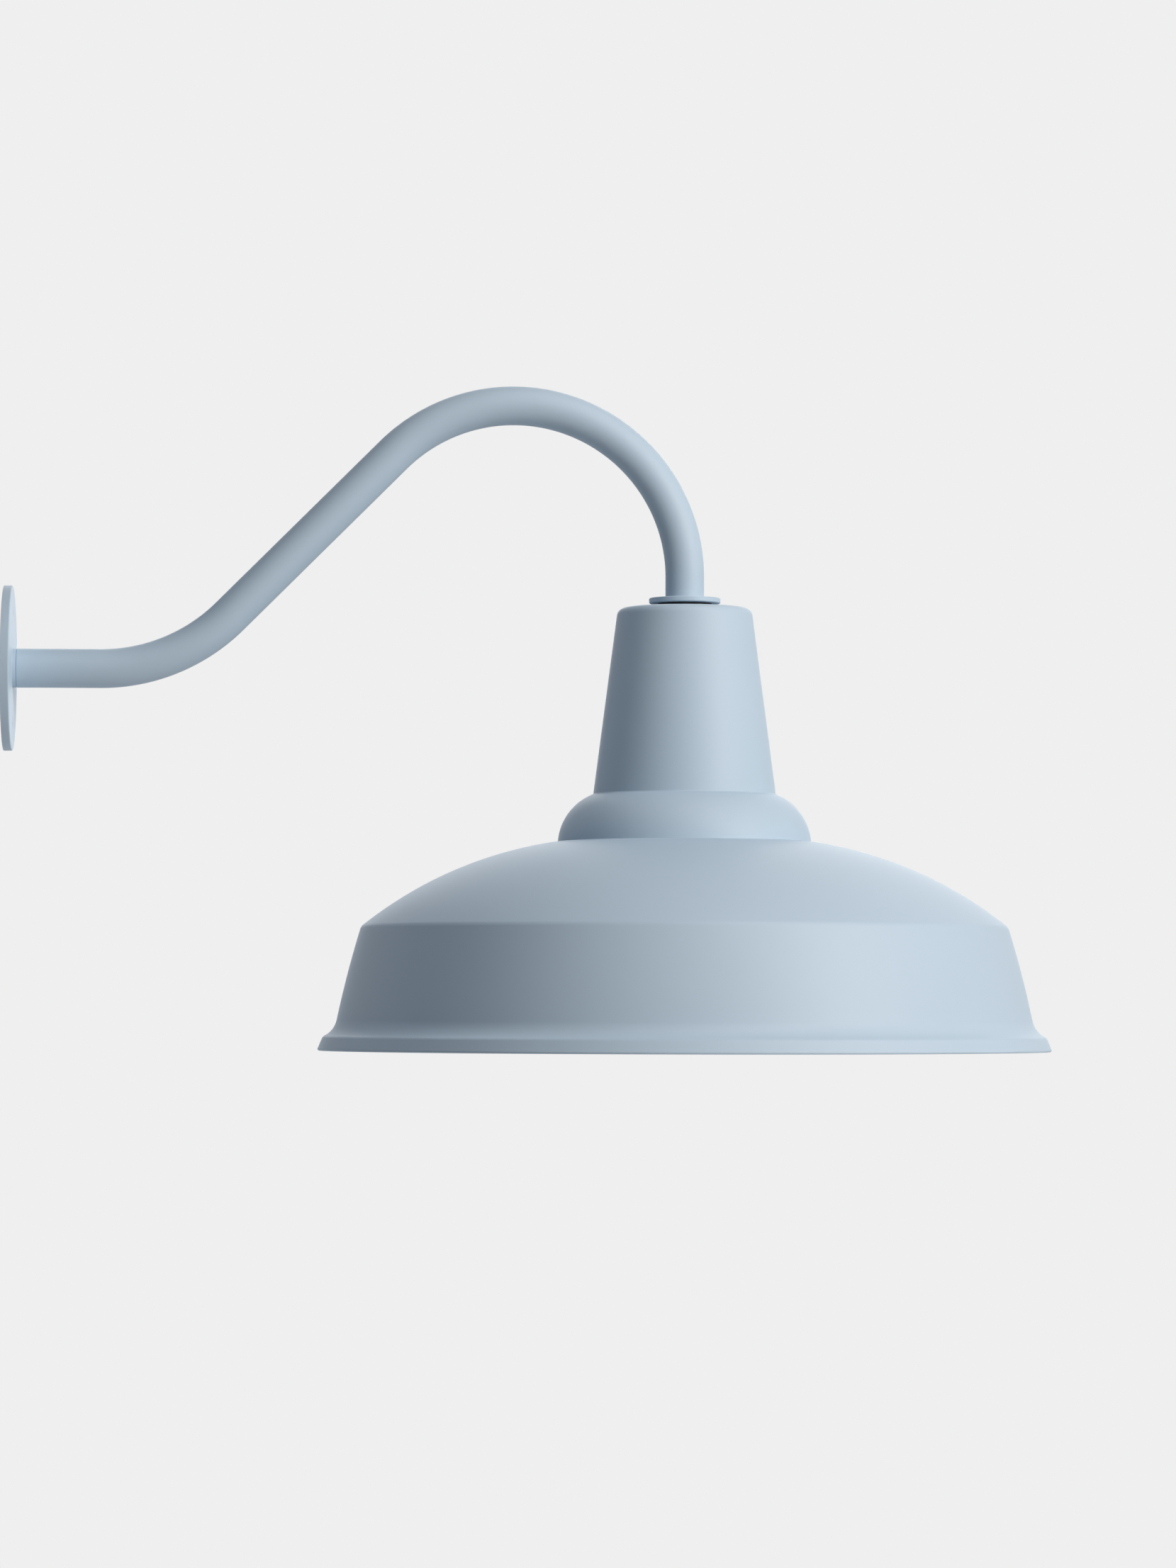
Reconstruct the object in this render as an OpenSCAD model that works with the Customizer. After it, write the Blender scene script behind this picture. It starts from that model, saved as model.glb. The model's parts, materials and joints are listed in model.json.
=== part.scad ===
// Gooseneck barn light for a wall, in millimetres.
// The origin is the centre of the wall plate's back, on the wall. +X points out of the wall, +Z up.

/* [Arm] */
// Distance from the wall to the shade's centre line
arm_reach = 472; // [450:1:520]
// Height of the arch's centre line over the wall plate's centre
arm_rise = 185; // [170:1:210]
// Slope of the climbing run
climb_angle = 45; // [40:1:50]
// Centre line radius of the bend near the wall
first_bend_r = 126; // [90:1:140]
// Centre line radius of the arch over the shade
arch_r = 119; // [100:1:124]
// Straight length of pipe below the arch
tail_length = 18.4; // [15:0.2:30]
// Outside diameter of the arm's pipe
pipe_d = 27; // [26:0.5:29]
// Wall thickness of the pipe
pipe_wall = 2.9; // [2.4:0.1:3.1]
// Diameter of the collar brazed on the pipe's lower end
collar_d = 49.8; // [44:0.2:60]
// Thickness of that collar
collar_t = 3.6; // [3:0.1:6]

/* [Wall plate] */
// Diameter of the wall plate
plate_d = 114.3; // [112:0.1:130]
// Depth of the wall plate from the wall to its face
plate_t = 6; // [6:0.1:9]
// Thickness of the plate's face behind the paint
plate_web = 2; // [1.6:0.1:2.4]
// Width of the plate's rim at the wall
plate_rim_w = 3; // [2:0.1:4]
// Rounding of the plate's front edge
plate_edge_r = 0.8; // [0.4:0.1:1.5]
// Length of the hub that the pipe butts against
hub_length = 2.5; // [1.5:0.1:5]
// Turned-down step of the pipe's threaded root
root_step = 1.3; // [1:0.1:1.5]
// Distance between the two plate screws
plate_screw_pitch = 76; // [72:0.5:82]
// Diameter of the plate screws
plate_screw_d = 4; // [3.5:0.1:5]
// Thickness of the nut that holds the pipe to the plate
root_nut_t = 3.4; // [2.5:0.1:3.8]

/* [Mounting ring] */
// Diameter of the mounting ring
ring_d = 100; // [98:0.2:102]
// Thickness of the mounting ring
ring_t = 1.5; // [1.2:0.1:2]
// Diameter of the ring's middle hole
ring_hole_d = 50; // [46:0.5:56]
// Distance between the middles of the two box screw slots
slot_pitch = 86; // [84:0.2:87]
// Length of each slot from end to end
slot_length = 9; // [6:0.2:9.6]
// Width of each slot
slot_w = 4.8; // [4.2:0.1:5.5]

/* [Neck] */
// Gap between the collar and the top of the neck
neck_gap = 3.2; // [2:0.1:6]
// Height of the neck
neck_h = 130.5; // [126:0.5:150]
// Diameter that the neck's side would have at its top
neck_top_d = 93.2; // [88:0.2:104]
// Diameter of the neck's foot
neck_foot_d = 127.2; // [125:0.2:136]
// Rounding of the neck's top corner
neck_corner_r = 6; // [3:0.5:12]

/* [Shade] */
// Sheet thickness of the neck and the shade
sheet_t = 1.2; // [1:0.1:1.8]
// Width of the flat land where the neck and the shade meet
land_w = 11.8; // [11:0.1:12.4]
// Height of the round step below the neck
bulge_h = 32.4; // [28:0.2:38]
// Diameter at the bottom of the round step
bulge_d = 176.2; // [170:0.2:190]
// Radius of the round step's curve
bulge_r = 34.6; // [33:0.2:50]
// Height of the dome
dome_h = 59.4; // [50:0.2:70]
// Diameter of the shoulder where the dome ends
shoulder_d = 449.2; // [440:0.2:460]
// Radius of the dome's curve
dome_r = 278.6; // [200:0.2:400]
// Rounding of the shoulder
shoulder_r = 3; // [1.8:0.1:6]
// Height of the skirt
skirt_h = 65.1; // [50:0.1:80]
// Diameter at the bottom of the skirt
skirt_d = 482.6; // [470:0.2:492]
// Radius of the skirt's slight curve
skirt_r = 730; // [400:5:2000]
// Height of the flare between the skirt and the lip
flare_h = 11.3; // [9:0.1:14]
// Radius of the flare's hollow curve
flare_r = 16; // [14:0.5:30]
// Diameter of the ledge's edge
ledge_d = 501.8; // [498:0.2:504]
// Slope of the ledge below level
ledge_slope = 30; // [20:1:40]
// Width of the ledge's straight stretch
ledge_w = 2; // [1.4:0.1:3]
// Rounding of the ledge's edge
ledge_r = 2.4; // [1.9:0.1:3]
// Height of the lip below the ledge
lip_h = 9.2; // [8:0.1:14]
// Diameter of the shade at the bottom of its lip
rim_d = 508.6; // [506:0.2:514]
// Height of the hem folded up inside the lip
hem_h = 6.4; // [4:0.1:7]

/* [Swivel] */
// Bore of the hollow nipple
nipple_bore = 16; // [14:0.2:17]
// Length of the nipple inside the pipe
nipple_grip = 14; // [10:0.5:14.5]
// Diameter of the rubber washer in the gap
rubber_d = 38; // [30:0.5:46]
// Diameter of the steel washer under the neck's top
washer_d = 44; // [38:0.5:52]
// Thickness of that steel washer
washer_t = 1.5; // [1:0.1:3]
// Distance across the flats of the nuts on the pipe and the nipple
nut_flats = 34; // [33:0.5:36]
// Thickness of the nut on the nipple
nipple_nut_t = 5; // [4:0.1:8]

/* [Lamp holder] */
// Distance between the outer faces of the bracket's legs
bracket_w = 52; // [50:0.5:60]
// Width of the bracket's strap
strap_w = 16; // [12:0.5:20]
// Thickness of the bracket's strap
strap_t = 2; // [1.5:0.1:3]
// Drop from the neck's top to the top of the porcelain
holder_drop = 58.4; // [54:0.2:62]
// Height of the porcelain body
holder_h = 50; // [46:0.5:56]
// Diameter of the porcelain body
holder_d = 40; // [38:0.5:42]
// Diameter of the porcelain's mouth rim
mouth_d = 43; // [42:0.5:46]
// Diameter of the bracket screws
bracket_screw_d = 4; // [3:0.1:5]
// Thickness of the screw shell's sheet
shell_t = 0.5; // [0.4:0.1:0.8]

/* [Bulb] */
// Largest diameter of the bulb's glass
bulb_d = 67; // [60:0.5:70]
// Length of the glass below the cap
glass_h = 111; // [105:0.5:120]
// Thickness of the glass
glass_t = 0.8; // [0.6:0.1:1.2]
// Diameter of the screw cap over its thread
cap_d = 26.1; // [25.8:0.05:26.2]
// Length of the cap from its tip to its rim
cap_h = 26.5; // [25:0.5:28]
// Distance that one turn of the cap's thread travels
thread_pitch = 3.63; // [3:0.01:4]
// Number of light strips in the bulb
strip_count = 4; // [3:1:6]

/* [Wiring] */
// Diameter of an insulated lead
lead_d = 2.8; // [2:0.1:3.2]
// Distance between the centres of the two leads
lead_pitch = 3.4; // [3.3:0.1:4.5]
// Length of the leads behind the wall
lead_out = 10; // [6:0.5:20]

/* [Hidden] */
$fn = 96;
// Running clearance round the nipple, where the neck turns
run_gap = 0.08;
// Clearance between threaded or seated pieces of one body
seat_gap = 0.05;
// Clearance between flat faces that turn past each other
face_gap = 0.2;
// Clearance round the bulb's cap in the screw shell
cap_gap = 0.25;
// Clearance round a screw in a plain hole
screw_gap = 0.2;
// Extra depth of a cut, so that it passes its face
cut = 1;
// Half length of the band that laps a run of bar and its bend, and how far it stands proud
seam_half = 0.5;
seam_proud = 0.02;
// How far a bend's own bar stops short of its ends, under that band
seam_short = 0.1;

pipe_r = pipe_d / 2;
bore_r = pipe_r - pipe_wall;
root_r = pipe_r - root_step;
plate_r = plate_d / 2;
recess_r = plate_r - plate_rim_w;
web_back = plate_t - plate_web;
hub_face = plate_t + hub_length;

// The arm's path, in the upright plane through the wall plate's centre
climb_rise = arm_rise - (first_bend_r + arch_r) * (1 - cos(climb_angle));
climb_length = climb_rise / sin(climb_angle);
first_bend_x = arm_reach - arch_r
    - (first_bend_r + arch_r) * sin(climb_angle)
    - climb_length * cos(climb_angle);
arch_z = arm_rise - arch_r;
pipe_end = arch_z - tail_length;
collar_top = pipe_end + collar_t;

// Levels of the neck and the shade
neck_top = pipe_end - neck_gap;
foot_z = neck_top - neck_h;
crease_z = foot_z - bulge_h;
shoulder_z = crease_z - dome_h;
flare_z = shoulder_z - skirt_h;
ledge_z = flare_z - flare_h;
rim_z = ledge_z - lip_h;

// The stack on the nipple, from the collar down
nipple_r = bore_r - seat_gap;
washer_top = neck_top - sheet_t - face_gap;
strap_top = washer_top - washer_t;
nipple_nut_top = strap_top - strap_t;
nipple_nut_end = nipple_nut_top - nipple_nut_t;
nipple_out = 3;
nipple_end = nipple_nut_end - nipple_out;
nipple_edge = 0.6;
bushing_lip = 1.2;
bushing_grip = 5;
bushing_wall = 1.4;

// The lamp holder
holder_top = neck_top - holder_drop;
holder_end = holder_top - holder_h;
holder_edge = 1.5;
mouth_h = 6;
lug_h = 20;
lug_w = 12;
lug_drop = 8;
lug_root = 4;
lug_z = holder_top - lug_drop - lug_h / 2;
leg_end = lug_z - lug_h / 2;
leg_face = bracket_w / 2 - strap_t;
crown_margin = 4.5;
crown_w = 2 * (nipple_r + crown_margin);
tap_depth = 6.5;
shell_r = cap_d / 2 + cap_gap;
cavity_r = shell_r + shell_t + seat_gap;
cavity_depth = 32;
cavity_top = holder_end + cavity_depth;
shell_fold = 3;
shell_end = holder_end + 2;
contact_t = 0.8;
contact_r = 5.2;
contact_post_r = 2;
contact_z = cavity_top - 7.3;

// The bulb
tip_z = contact_z - 0.3;
cap_rim = tip_z - cap_h;
thread_h = 17;
thread_lead_in = 3;
thread_depth = 0.75;
cap_sheet = 0.4;
insulator_h = 4;
insulator_r = 8.5;
insulator_edge = 1;
tip_r = 4.2;
tip_flat_r = 2.8;
tip_h = 1.5;
bulb_r = bulb_d / 2;
glass_neck_r = cap_d / 2 - 0.1;
glass_top = cap_rim - 0.3;
glass_end = cap_rim - glass_h;
glass_angle = 40;
glass_centre = glass_end + bulb_r;
glass_sweep_r = (bulb_r * cos(glass_angle) - glass_neck_r) / (1 - cos(glass_angle));
glass_sweep_z = glass_centre + bulb_r * sin(glass_angle);
stem_r = 3.2;
stem_h = 42;
stem_in = 4;
stem_flange_r = cap_d / 2 - 1.6;
stem_flange_h = 2;
stem_sweep_r = 14;
stem_sweep_h = 13.5;
stem_end = cap_rim + stem_in - stem_h;
strip_length = 32;
strip_r = 0.9;
strip_top_r = 5;
strip_end_r = 9.5;
strip_top = stem_end + 4;
strip_lean = asin((strip_end_r - strip_top_r) / strip_length);
strip_end = strip_top - strip_length * cos(strip_lean);
wire_r = 0.35;
wire_post_r = 0.5;
wire_z = strip_end - wire_r - 0.1;

// Terminals and leads
terminal_y = 11;
terminal_h = 7;
terminal_r = 2.4;
terminal_floor = 2;
terminal_foot = 6.4;
terminal_foot_t = 1.2;
lead_r = lead_d / 2;
lead_y = lead_pitch / 2;
lead_bend_r = 12;
lead_bend_start = nipple_end - 5;
lead_bend_angle = acos(1 - (terminal_y - lead_y) / (2 * lead_bend_r));
lead_bend_end = lead_bend_start - 2 * lead_bend_r * sin(lead_bend_angle);
lead_end = holder_top + terminal_floor + 0.5;

// Where the neck's foot flange lies on the shade's land
land_step = 2.6;
land_r = neck_foot_d / 2 - land_step;
land_inner_r = land_r - land_w;

// Screws and nuts
slot_width = 0.9;
slot_depth = 1.2;
head_r = 3.6;
head_h = 2.2;
shade_screw_r = 2;
shade_screw_count = 3;
shade_screw_ring = land_r - land_w / 2;
shade_screw_out = 1;
small_nut_flats = 7;
small_nut_h = 3;
plate_sink = plate_screw_d / 2;
plate_screw_out = 2;
plate_boss_r = 6;
collar_tap_h = 1;
collar_tap_wall = 1.4;
ring_gap = 0.3;
ground_ring = 37;
ground_angle = 45;
ground_flats = 7;
ground_flange_r = 4.5;
ground_flange_t = 0.6;
ground_out = 1.2;

// Outlines

function unit(v) = v / norm(v);

function rest(points) = [for (i = [1:len(points) - 1]) points[i]];

function reversed(points) = [for (i = [len(points) - 1:-1:0]) points[i]];

// Arc from a to b that turns left where r is positive and right where it is negative
function arc(a, b, r, steps) =
    let (
        chord = b - a,
        half = norm(chord) / 2,
        side = sign(r) * sqrt(max(0, r * r - half * half)) / (2 * half),
        centre = (a + b) / 2 + [-chord.y, chord.x] * side,
        start = atan2(a.y - centre.y, a.x - centre.x),
        turn = 2 * sign(r) * asin(min(1, half / abs(r)))
    )
    [for (i = [0:steps]) centre + abs(r) * [cos(start + turn * i / steps), sin(start + turn * i / steps)]];

// Arc of radius r that rounds the corner p between a and b
function rounded(a, p, b, r, steps) =
    let (
        to_a = unit(a - p),
        to_b = unit(b - p),
        back = r / tan(acos(to_a * to_b) / 2),
        side = sign(cross(p - a, b - p))
    )
    arc(p + to_a * back, p + to_b * back, side * r, steps);

// The same outline moved to its right by t
function inset(points, t) =
    let (last = len(points) - 1)
    [for (i = [0:last])
        let (
            before = unit(points[max(i, 1)] - points[max(i, 1) - 1]),
            after = unit(points[min(i, last - 1) + 1] - points[min(i, last - 1)])
        )
        points[i] + [before.y + after.y, -before.x - after.x] * t / (1 + before * after)];

// Shared shapes

module round_x(points) {
    rotate([0, 90, 0])
        rotate_extrude()
            polygon(points);
}

module tube(r_out, r_in, z_low, z_high) {
    translate([0, 0, z_low])
        difference() {
            cylinder(h = z_high - z_low, r = r_out);
            translate([0, 0, -cut])
                cylinder(h = z_high - z_low + 2 * cut, r = r_in);
        }
}

module hex_nut(flats, r_in, z_low, z_high) {
    translate([0, 0, z_low])
        difference() {
            cylinder(h = z_high - z_low, r = flats / sqrt(3), $fn = 6);
            translate([0, 0, -cut])
                cylinder(h = z_high - z_low + 2 * cut, r = r_in);
        }
}

module cross_slot(reach, depth) {
    for (turn = [0, 90])
        rotate([0, 0, turn])
            translate([-reach, -slot_width / 2, -depth])
                cube([2 * reach, slot_width, depth + cut]);
}

// A straight run of round bar along X, with what follows it at its end
module run(length, r) {
    rotate([0, 90, 0])
        cylinder(h = length, r = r);
    translate([length, 0, 0])
        children();
}

// The band round the joint between two stretches of bar, a hair wider than the bar
module seam(r) {
    translate([-seam_half, 0, 0])
        rotate([0, 90, 0])
            cylinder(h = 2 * seam_half, r = r + seam_proud);
    children();
}

// A bend of round bar, upwards where bend_r is positive, with what follows it at its end
module bend(bend_r, angle, r) {
    short = seam_short / abs(bend_r) * 180 / PI;
    rotate([bend_r > 0 ? 0 : 180, 0, 0])
        translate([0, 0, abs(bend_r)])
            rotate([90, 0, 0])
                rotate([0, 0, short - 90])
                    rotate_extrude(angle = angle - 2 * short)
                        translate([abs(bend_r), 0])
                            circle(r = r);
    translate([0, 0, bend_r])
        rotate([0, -sign(bend_r) * angle, 0])
            translate([0, 0, -bend_r])
                children();
}

// A round bar of radius r bent to the arm's path, from wall_end along X down to low_end
module arm_run(r, wall_end, low_end) {
    translate([wall_end, 0, 0])
        run(first_bend_x - wall_end, r)
            seam(r)
                bend(first_bend_r, climb_angle, r)
                    seam(r)
                        run(climb_length, r)
                            seam(r)
                                bend(-arch_r, 90 + climb_angle, r)
                                    seam(r)
                                        run(arch_z - low_end, r)
                                            children();
}

// Pieces at the wall

module wall_plate() {
    hub_edge = 0.3;
    boss_back = ring_t + collar_tap_h + seat_gap;
    color([0.68, 0.76, 0.83])
        difference() {
            union() {
                round_x(concat(
                    [
                        [root_r + seat_gap, web_back],
                        [recess_r, web_back],
                        [recess_r, 0],
                        [plate_r, 0]
                    ],
                    rounded([plate_r, 0], [plate_r, plate_t], [pipe_r, plate_t], plate_edge_r, 4),
                    [
                        [pipe_r, plate_t],
                        [pipe_r, hub_face - hub_edge],
                        [pipe_r - hub_edge, hub_face],
                        [root_r + seat_gap, hub_face]
                    ]
                ));
                plate_screw_places(boss_back)
                    cylinder(h = web_back + plate_web / 2 - boss_back, r = plate_boss_r);
            }
            plate_screw_places(0) {
                cylinder(h = plate_t + cut, r = plate_screw_d / 2 + screw_gap);
                translate([0, 0, plate_t - plate_sink - screw_gap])
                    cylinder(
                        h = plate_sink + screw_gap,
                        r1 = plate_screw_d / 2,
                        r2 = plate_screw_d / 2 + plate_sink + screw_gap
                    );
            }
        }
}

// The places of the two plate screws, with +Z out of the wall
module plate_screw_places(depth) {
    for (up = [-1, 1])
        translate([depth, 0, up * plate_screw_pitch / 2])
            rotate([0, 90, 0])
                children();
}

module plate_screws() {
    head_back = plate_t - plate_sink - screw_gap / 2;
    color([0.68, 0.76, 0.83])
        plate_screw_places(0)
            difference() {
                union() {
                    translate([0, 0, -plate_screw_out])
                        cylinder(h = plate_screw_out + head_back + plate_sink / 2, r = plate_screw_d / 2);
                    translate([0, 0, head_back])
                        cylinder(h = plate_sink, r1 = plate_screw_d / 2, r2 = plate_screw_d / 2 + plate_sink);
                }
                translate([0, 0, plate_t])
                    cross_slot(plate_screw_d / 2, slot_depth);
            }
}

module wall_gasket() {
    color([0.12, 0.12, 0.12])
        rotate([0, 90, 0])
            tube(recess_r - seat_gap, ring_d / 2 + ring_gap, 0, web_back);
}

module mounting_ring() {
    color([0.72, 0.73, 0.74])
        difference() {
            union() {
                rotate([0, 90, 0])
                    cylinder(h = ring_t, r = ring_d / 2);
                plate_screw_places(0)
                    cylinder(h = ring_t + collar_tap_h, r = plate_screw_d / 2 + collar_tap_wall);
            }
            rotate([0, 90, 0])
                translate([0, 0, -cut])
                    cylinder(h = ring_t + 2 * cut, r = ring_hole_d / 2);
            plate_screw_places(-cut)
                cylinder(h = ring_t + collar_tap_h + 2 * cut, r = plate_screw_d / 2 + seat_gap);
            for (side = [-1, 1])
                translate([-cut, side * slot_pitch / 2, 0])
                    rotate([0, 90, 0])
                        box_slot(ring_t + 2 * cut);
            ground_place(-cut)
                cylinder(h = ring_t + 2 * cut, r = plate_screw_d / 2 + seat_gap);
        }
}

module box_slot(depth) {
    straight = slot_length - slot_w;
    translate([-slot_w / 2, -straight / 2, 0])
        cube([slot_w, straight, depth]);
    for (end = [-1, 1])
        translate([0, end * straight / 2, 0])
            cylinder(h = depth, r = slot_w / 2);
}

module ground_place(depth) {
    rotate([ground_angle, 0, 0])
        translate([depth, 0, -ground_ring])
            rotate([0, 90, 0])
                children();
}

module ground_screw() {
    color([0.1, 0.5, 0.25])
        ground_place(0)
            difference() {
                union() {
                    cylinder(h = ring_t + ground_out, r = plate_screw_d / 2);
                    translate([0, 0, -head_h])
                        cylinder(h = head_h, r = ground_flats / sqrt(3), $fn = 6);
                    translate([0, 0, -ground_flange_t])
                        cylinder(h = ground_flange_t, r = ground_flange_r);
                }
                translate([-ground_flats, -slot_width / 2, -head_h - cut])
                    cube([2 * ground_flats, slot_width, cut + slot_depth]);
            }
}

module root_locknut() {
    color([0.76, 0.77, 0.78])
        rotate([0, 90, 0])
            hex_nut(nut_flats, root_r + seat_gap, web_back - root_nut_t, web_back);
}

// The arm

module arm_pipe() {
    thread_end = 0.3;
    color([0.68, 0.76, 0.83])
        difference() {
            union() {
                arm_run(pipe_r, hub_face, pipe_end);
                translate([thread_end, 0, 0])
                    rotate([0, 90, 0])
                        cylinder(h = hub_face - thread_end, r = root_r);
            }
            arm_run(bore_r, thread_end - cut, pipe_end - cut);
        }
}

module arm_collar() {
    edge = 0.5;
    color([0.68, 0.76, 0.83])
        translate([arm_reach, 0, 0])
            rotate_extrude()
                polygon([
                    [pipe_r + seat_gap, pipe_end],
                    [collar_d / 2 - edge, pipe_end],
                    [collar_d / 2, pipe_end + edge],
                    [collar_d / 2, collar_top - edge],
                    [collar_d / 2 - edge, collar_top],
                    [pipe_r + seat_gap, collar_top]
                ]);
}

// The swivel under the collar

module rubber_washer() {
    color([0.08, 0.08, 0.09])
        translate([arm_reach, 0, 0])
            tube(rubber_d / 2, nipple_r + seat_gap, neck_top + face_gap, pipe_end);
}

module swivel_nipple() {
    top = pipe_end + nipple_grip;
    color([0.76, 0.77, 0.78])
        translate([arm_reach, 0, 0])
            rotate_extrude()
                polygon([
                    [nipple_bore / 2, nipple_end],
                    [nipple_r - nipple_edge, nipple_end],
                    [nipple_r, nipple_end + nipple_edge],
                    [nipple_r, top - nipple_edge],
                    [nipple_r - nipple_edge, top],
                    [nipple_bore / 2, top]
                ]);
}

module thrust_washer() {
    color([0.76, 0.77, 0.78])
        translate([arm_reach, 0, 0])
            tube(washer_d / 2, nipple_r + seat_gap, strap_top, washer_top);
}

module nipple_locknut() {
    color([0.76, 0.77, 0.78])
        translate([arm_reach, 0, 0])
            hex_nut(nut_flats, nipple_r + seat_gap, nipple_nut_end, nipple_nut_top);
}

module nipple_bushing() {
    color([0.15, 0.15, 0.16])
        translate([arm_reach, 0, 0])
            rotate_extrude()
                polygon([
                    [nipple_bore / 2 - bushing_wall, nipple_end - bushing_lip],
                    [nipple_r - nipple_edge, nipple_end - bushing_lip],
                    [nipple_r - nipple_edge, nipple_end],
                    [nipple_bore / 2 - seat_gap, nipple_end],
                    [nipple_bore / 2 - seat_gap, nipple_end + bushing_grip],
                    [nipple_bore / 2 - bushing_wall, nipple_end + bushing_grip]
                ]);
}

// The lamp holder

module holder_bracket() {
    color([0.72, 0.73, 0.74])
        translate([arm_reach, 0, 0])
            difference() {
                union() {
                    translate([-bracket_w / 2, -crown_w / 2, strap_top - strap_t])
                        cube([bracket_w, crown_w, strap_t]);
                    for (side = [-1, 1])
                        translate([side * (bracket_w - strap_t) / 2, 0, (strap_top + leg_end) / 2])
                            cube([strap_t, strap_w, strap_top - leg_end], center = true);
                }
                translate([0, 0, strap_top - strap_t - cut])
                    cylinder(h = strap_t + 2 * cut, r = nipple_r + seat_gap);
                translate([-bracket_w / 2 - cut, 0, lug_z])
                    rotate([0, 90, 0])
                        cylinder(h = bracket_w + 2 * cut, r = bracket_screw_d / 2 + screw_gap);
            }
}

// The places of the two bracket screws, with +Z outwards and the bracket's face at zero
module bracket_screw_places() {
    for (side = [-1, 1])
        translate([arm_reach, 0, lug_z])
            rotate([0, side * 90, 0])
                translate([0, 0, bracket_w / 2])
                    children();
}

module bracket_screws() {
    shank = strap_t + tap_depth - 0.5;
    color([0.76, 0.77, 0.78])
        bracket_screw_places()
            difference() {
                union() {
                    translate([0, 0, -shank])
                        cylinder(h = shank + head_h / 2, r = bracket_screw_d / 2);
                    cylinder(h = head_h, r = head_r);
                }
                translate([0, 0, head_h])
                    cross_slot(bracket_screw_d / 2, slot_depth);
            }
}

module lamp_holder() {
    lug_face = leg_face - seat_gap;
    lug_length = lug_face - holder_d / 2 + lug_root;
    color([0.94, 0.93, 0.9])
        difference() {
            translate([arm_reach, 0, 0])
                union() {
                    rotate_extrude()
                        polygon([
                            [0, holder_top],
                            [holder_d / 2 - holder_edge, holder_top],
                            [holder_d / 2, holder_top - holder_edge],
                            [holder_d / 2, holder_end + mouth_h + holder_edge],
                            [mouth_d / 2, holder_end + mouth_h],
                            [mouth_d / 2, holder_end + holder_edge],
                            [mouth_d / 2 - holder_edge, holder_end],
                            [cavity_r, holder_end],
                            [cavity_r, cavity_top],
                            [0, cavity_top]
                        ]);
                    for (side = [-1, 1])
                        translate([side * (lug_face - lug_length / 2), 0, lug_z])
                            cube([lug_length, lug_w, lug_h], center = true);
                }
            bracket_screw_places()
                translate([0, 0, -strap_t - tap_depth])
                    cylinder(h = strap_t + tap_depth + cut, r = bracket_screw_d / 2 + seat_gap);
        }
}

module screw_shell() {
    color([0.8, 0.66, 0.36])
        translate([arm_reach, 0, 0])
            rotate_extrude()
                polygon([
                    [shell_r, shell_end],
                    [shell_r + shell_t, shell_end],
                    [shell_r + shell_t, cavity_top],
                    [shell_r - shell_fold, cavity_top],
                    [shell_r - shell_fold, cavity_top - shell_t],
                    [shell_r, cavity_top - shell_t]
                ]);
}

module centre_contact() {
    color([0.8, 0.66, 0.36])
        translate([arm_reach, 0, 0])
            rotate_extrude()
                polygon([
                    [0, contact_z],
                    [contact_r, contact_z],
                    [contact_r, contact_z + contact_t],
                    [contact_post_r, contact_z + contact_t],
                    [contact_post_r, cavity_top],
                    [0, cavity_top]
                ]);
}

module lead_terminals() {
    color([0.8, 0.66, 0.36])
        for (side = [-1, 1])
            translate([arm_reach, side * terminal_y, 0])
                difference() {
                    union() {
                        translate([0, 0, holder_top])
                            cylinder(h = terminal_h, r = terminal_r);
                        translate([0, 0, holder_top + terminal_foot_t / 2])
                            cube([terminal_foot, terminal_foot, terminal_foot_t], center = true);
                    }
                    translate([0, 0, holder_top + terminal_floor])
                        cylinder(h = terminal_h, r = lead_r + seat_gap);
                }
}

// One lead, from behind the wall through the arm, then out to its terminal on one side
module lead(side) {
    translate([0, side * lead_y, 0])
        arm_run(lead_r, -lead_out, lead_bend_start)
            rotate([-side * 90, 0, 0])
                seam(lead_r)
                    bend(lead_bend_r, lead_bend_angle, lead_r)
                        seam(lead_r)
                            bend(-lead_bend_r, lead_bend_angle, lead_r)
                                seam(lead_r)
                                    run(lead_bend_end - lead_end, lead_r);
}

module line_lead() {
    color([0.1, 0.1, 0.1])
        lead(1);
}

module neutral_lead() {
    color([0.92, 0.92, 0.9])
        lead(-1);
}

// The neck and the shade

neck_side_top = [neck_top_d / 2, neck_top];
neck_foot = [neck_foot_d / 2, foot_z];
neck_hole_r = nipple_r + run_gap;
neck_foot_edge = sheet_t + 0.3;

neck_outline = concat(
    [[neck_hole_r, neck_top]],
    rounded([neck_hole_r, neck_top], neck_side_top, neck_foot, neck_corner_r, 6),
    rounded(neck_side_top, neck_foot, [land_inner_r, foot_z], neck_foot_edge, 4),
    [[land_inner_r, foot_z]]
);

bulge_foot = [bulge_d / 2, crease_z];
shoulder = [shoulder_d / 2, shoulder_z];
skirt_foot = [skirt_d / 2, flare_z];
ledge_edge = [ledge_d / 2, ledge_z];
flare_foot = ledge_edge + ledge_w * [-cos(ledge_slope), sin(ledge_slope)];
rim = [rim_d / 2, rim_z + sheet_t];

// The dome and the skirt, which a small arc joins at the shoulder
dome_line = arc(bulge_foot, shoulder, -dome_r, 18);
skirt_line = arc(shoulder, skirt_foot, -skirt_r, 6);
dome_last = dome_line[len(dome_line) - 2];

shade_outline = concat(
    [[land_inner_r, foot_z]],
    arc([land_r, foot_z], bulge_foot, -bulge_r, 14),
    [for (i = [1:len(dome_line) - 2]) dome_line[i]],
    rounded(dome_last, shoulder, skirt_line[1], shoulder_r, 5),
    rest(skirt_line),
    rest(arc(skirt_foot, flare_foot, flare_r, 6)),
    rounded(flare_foot, ledge_edge, rim, ledge_r, 5),
    [rim]
);

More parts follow.
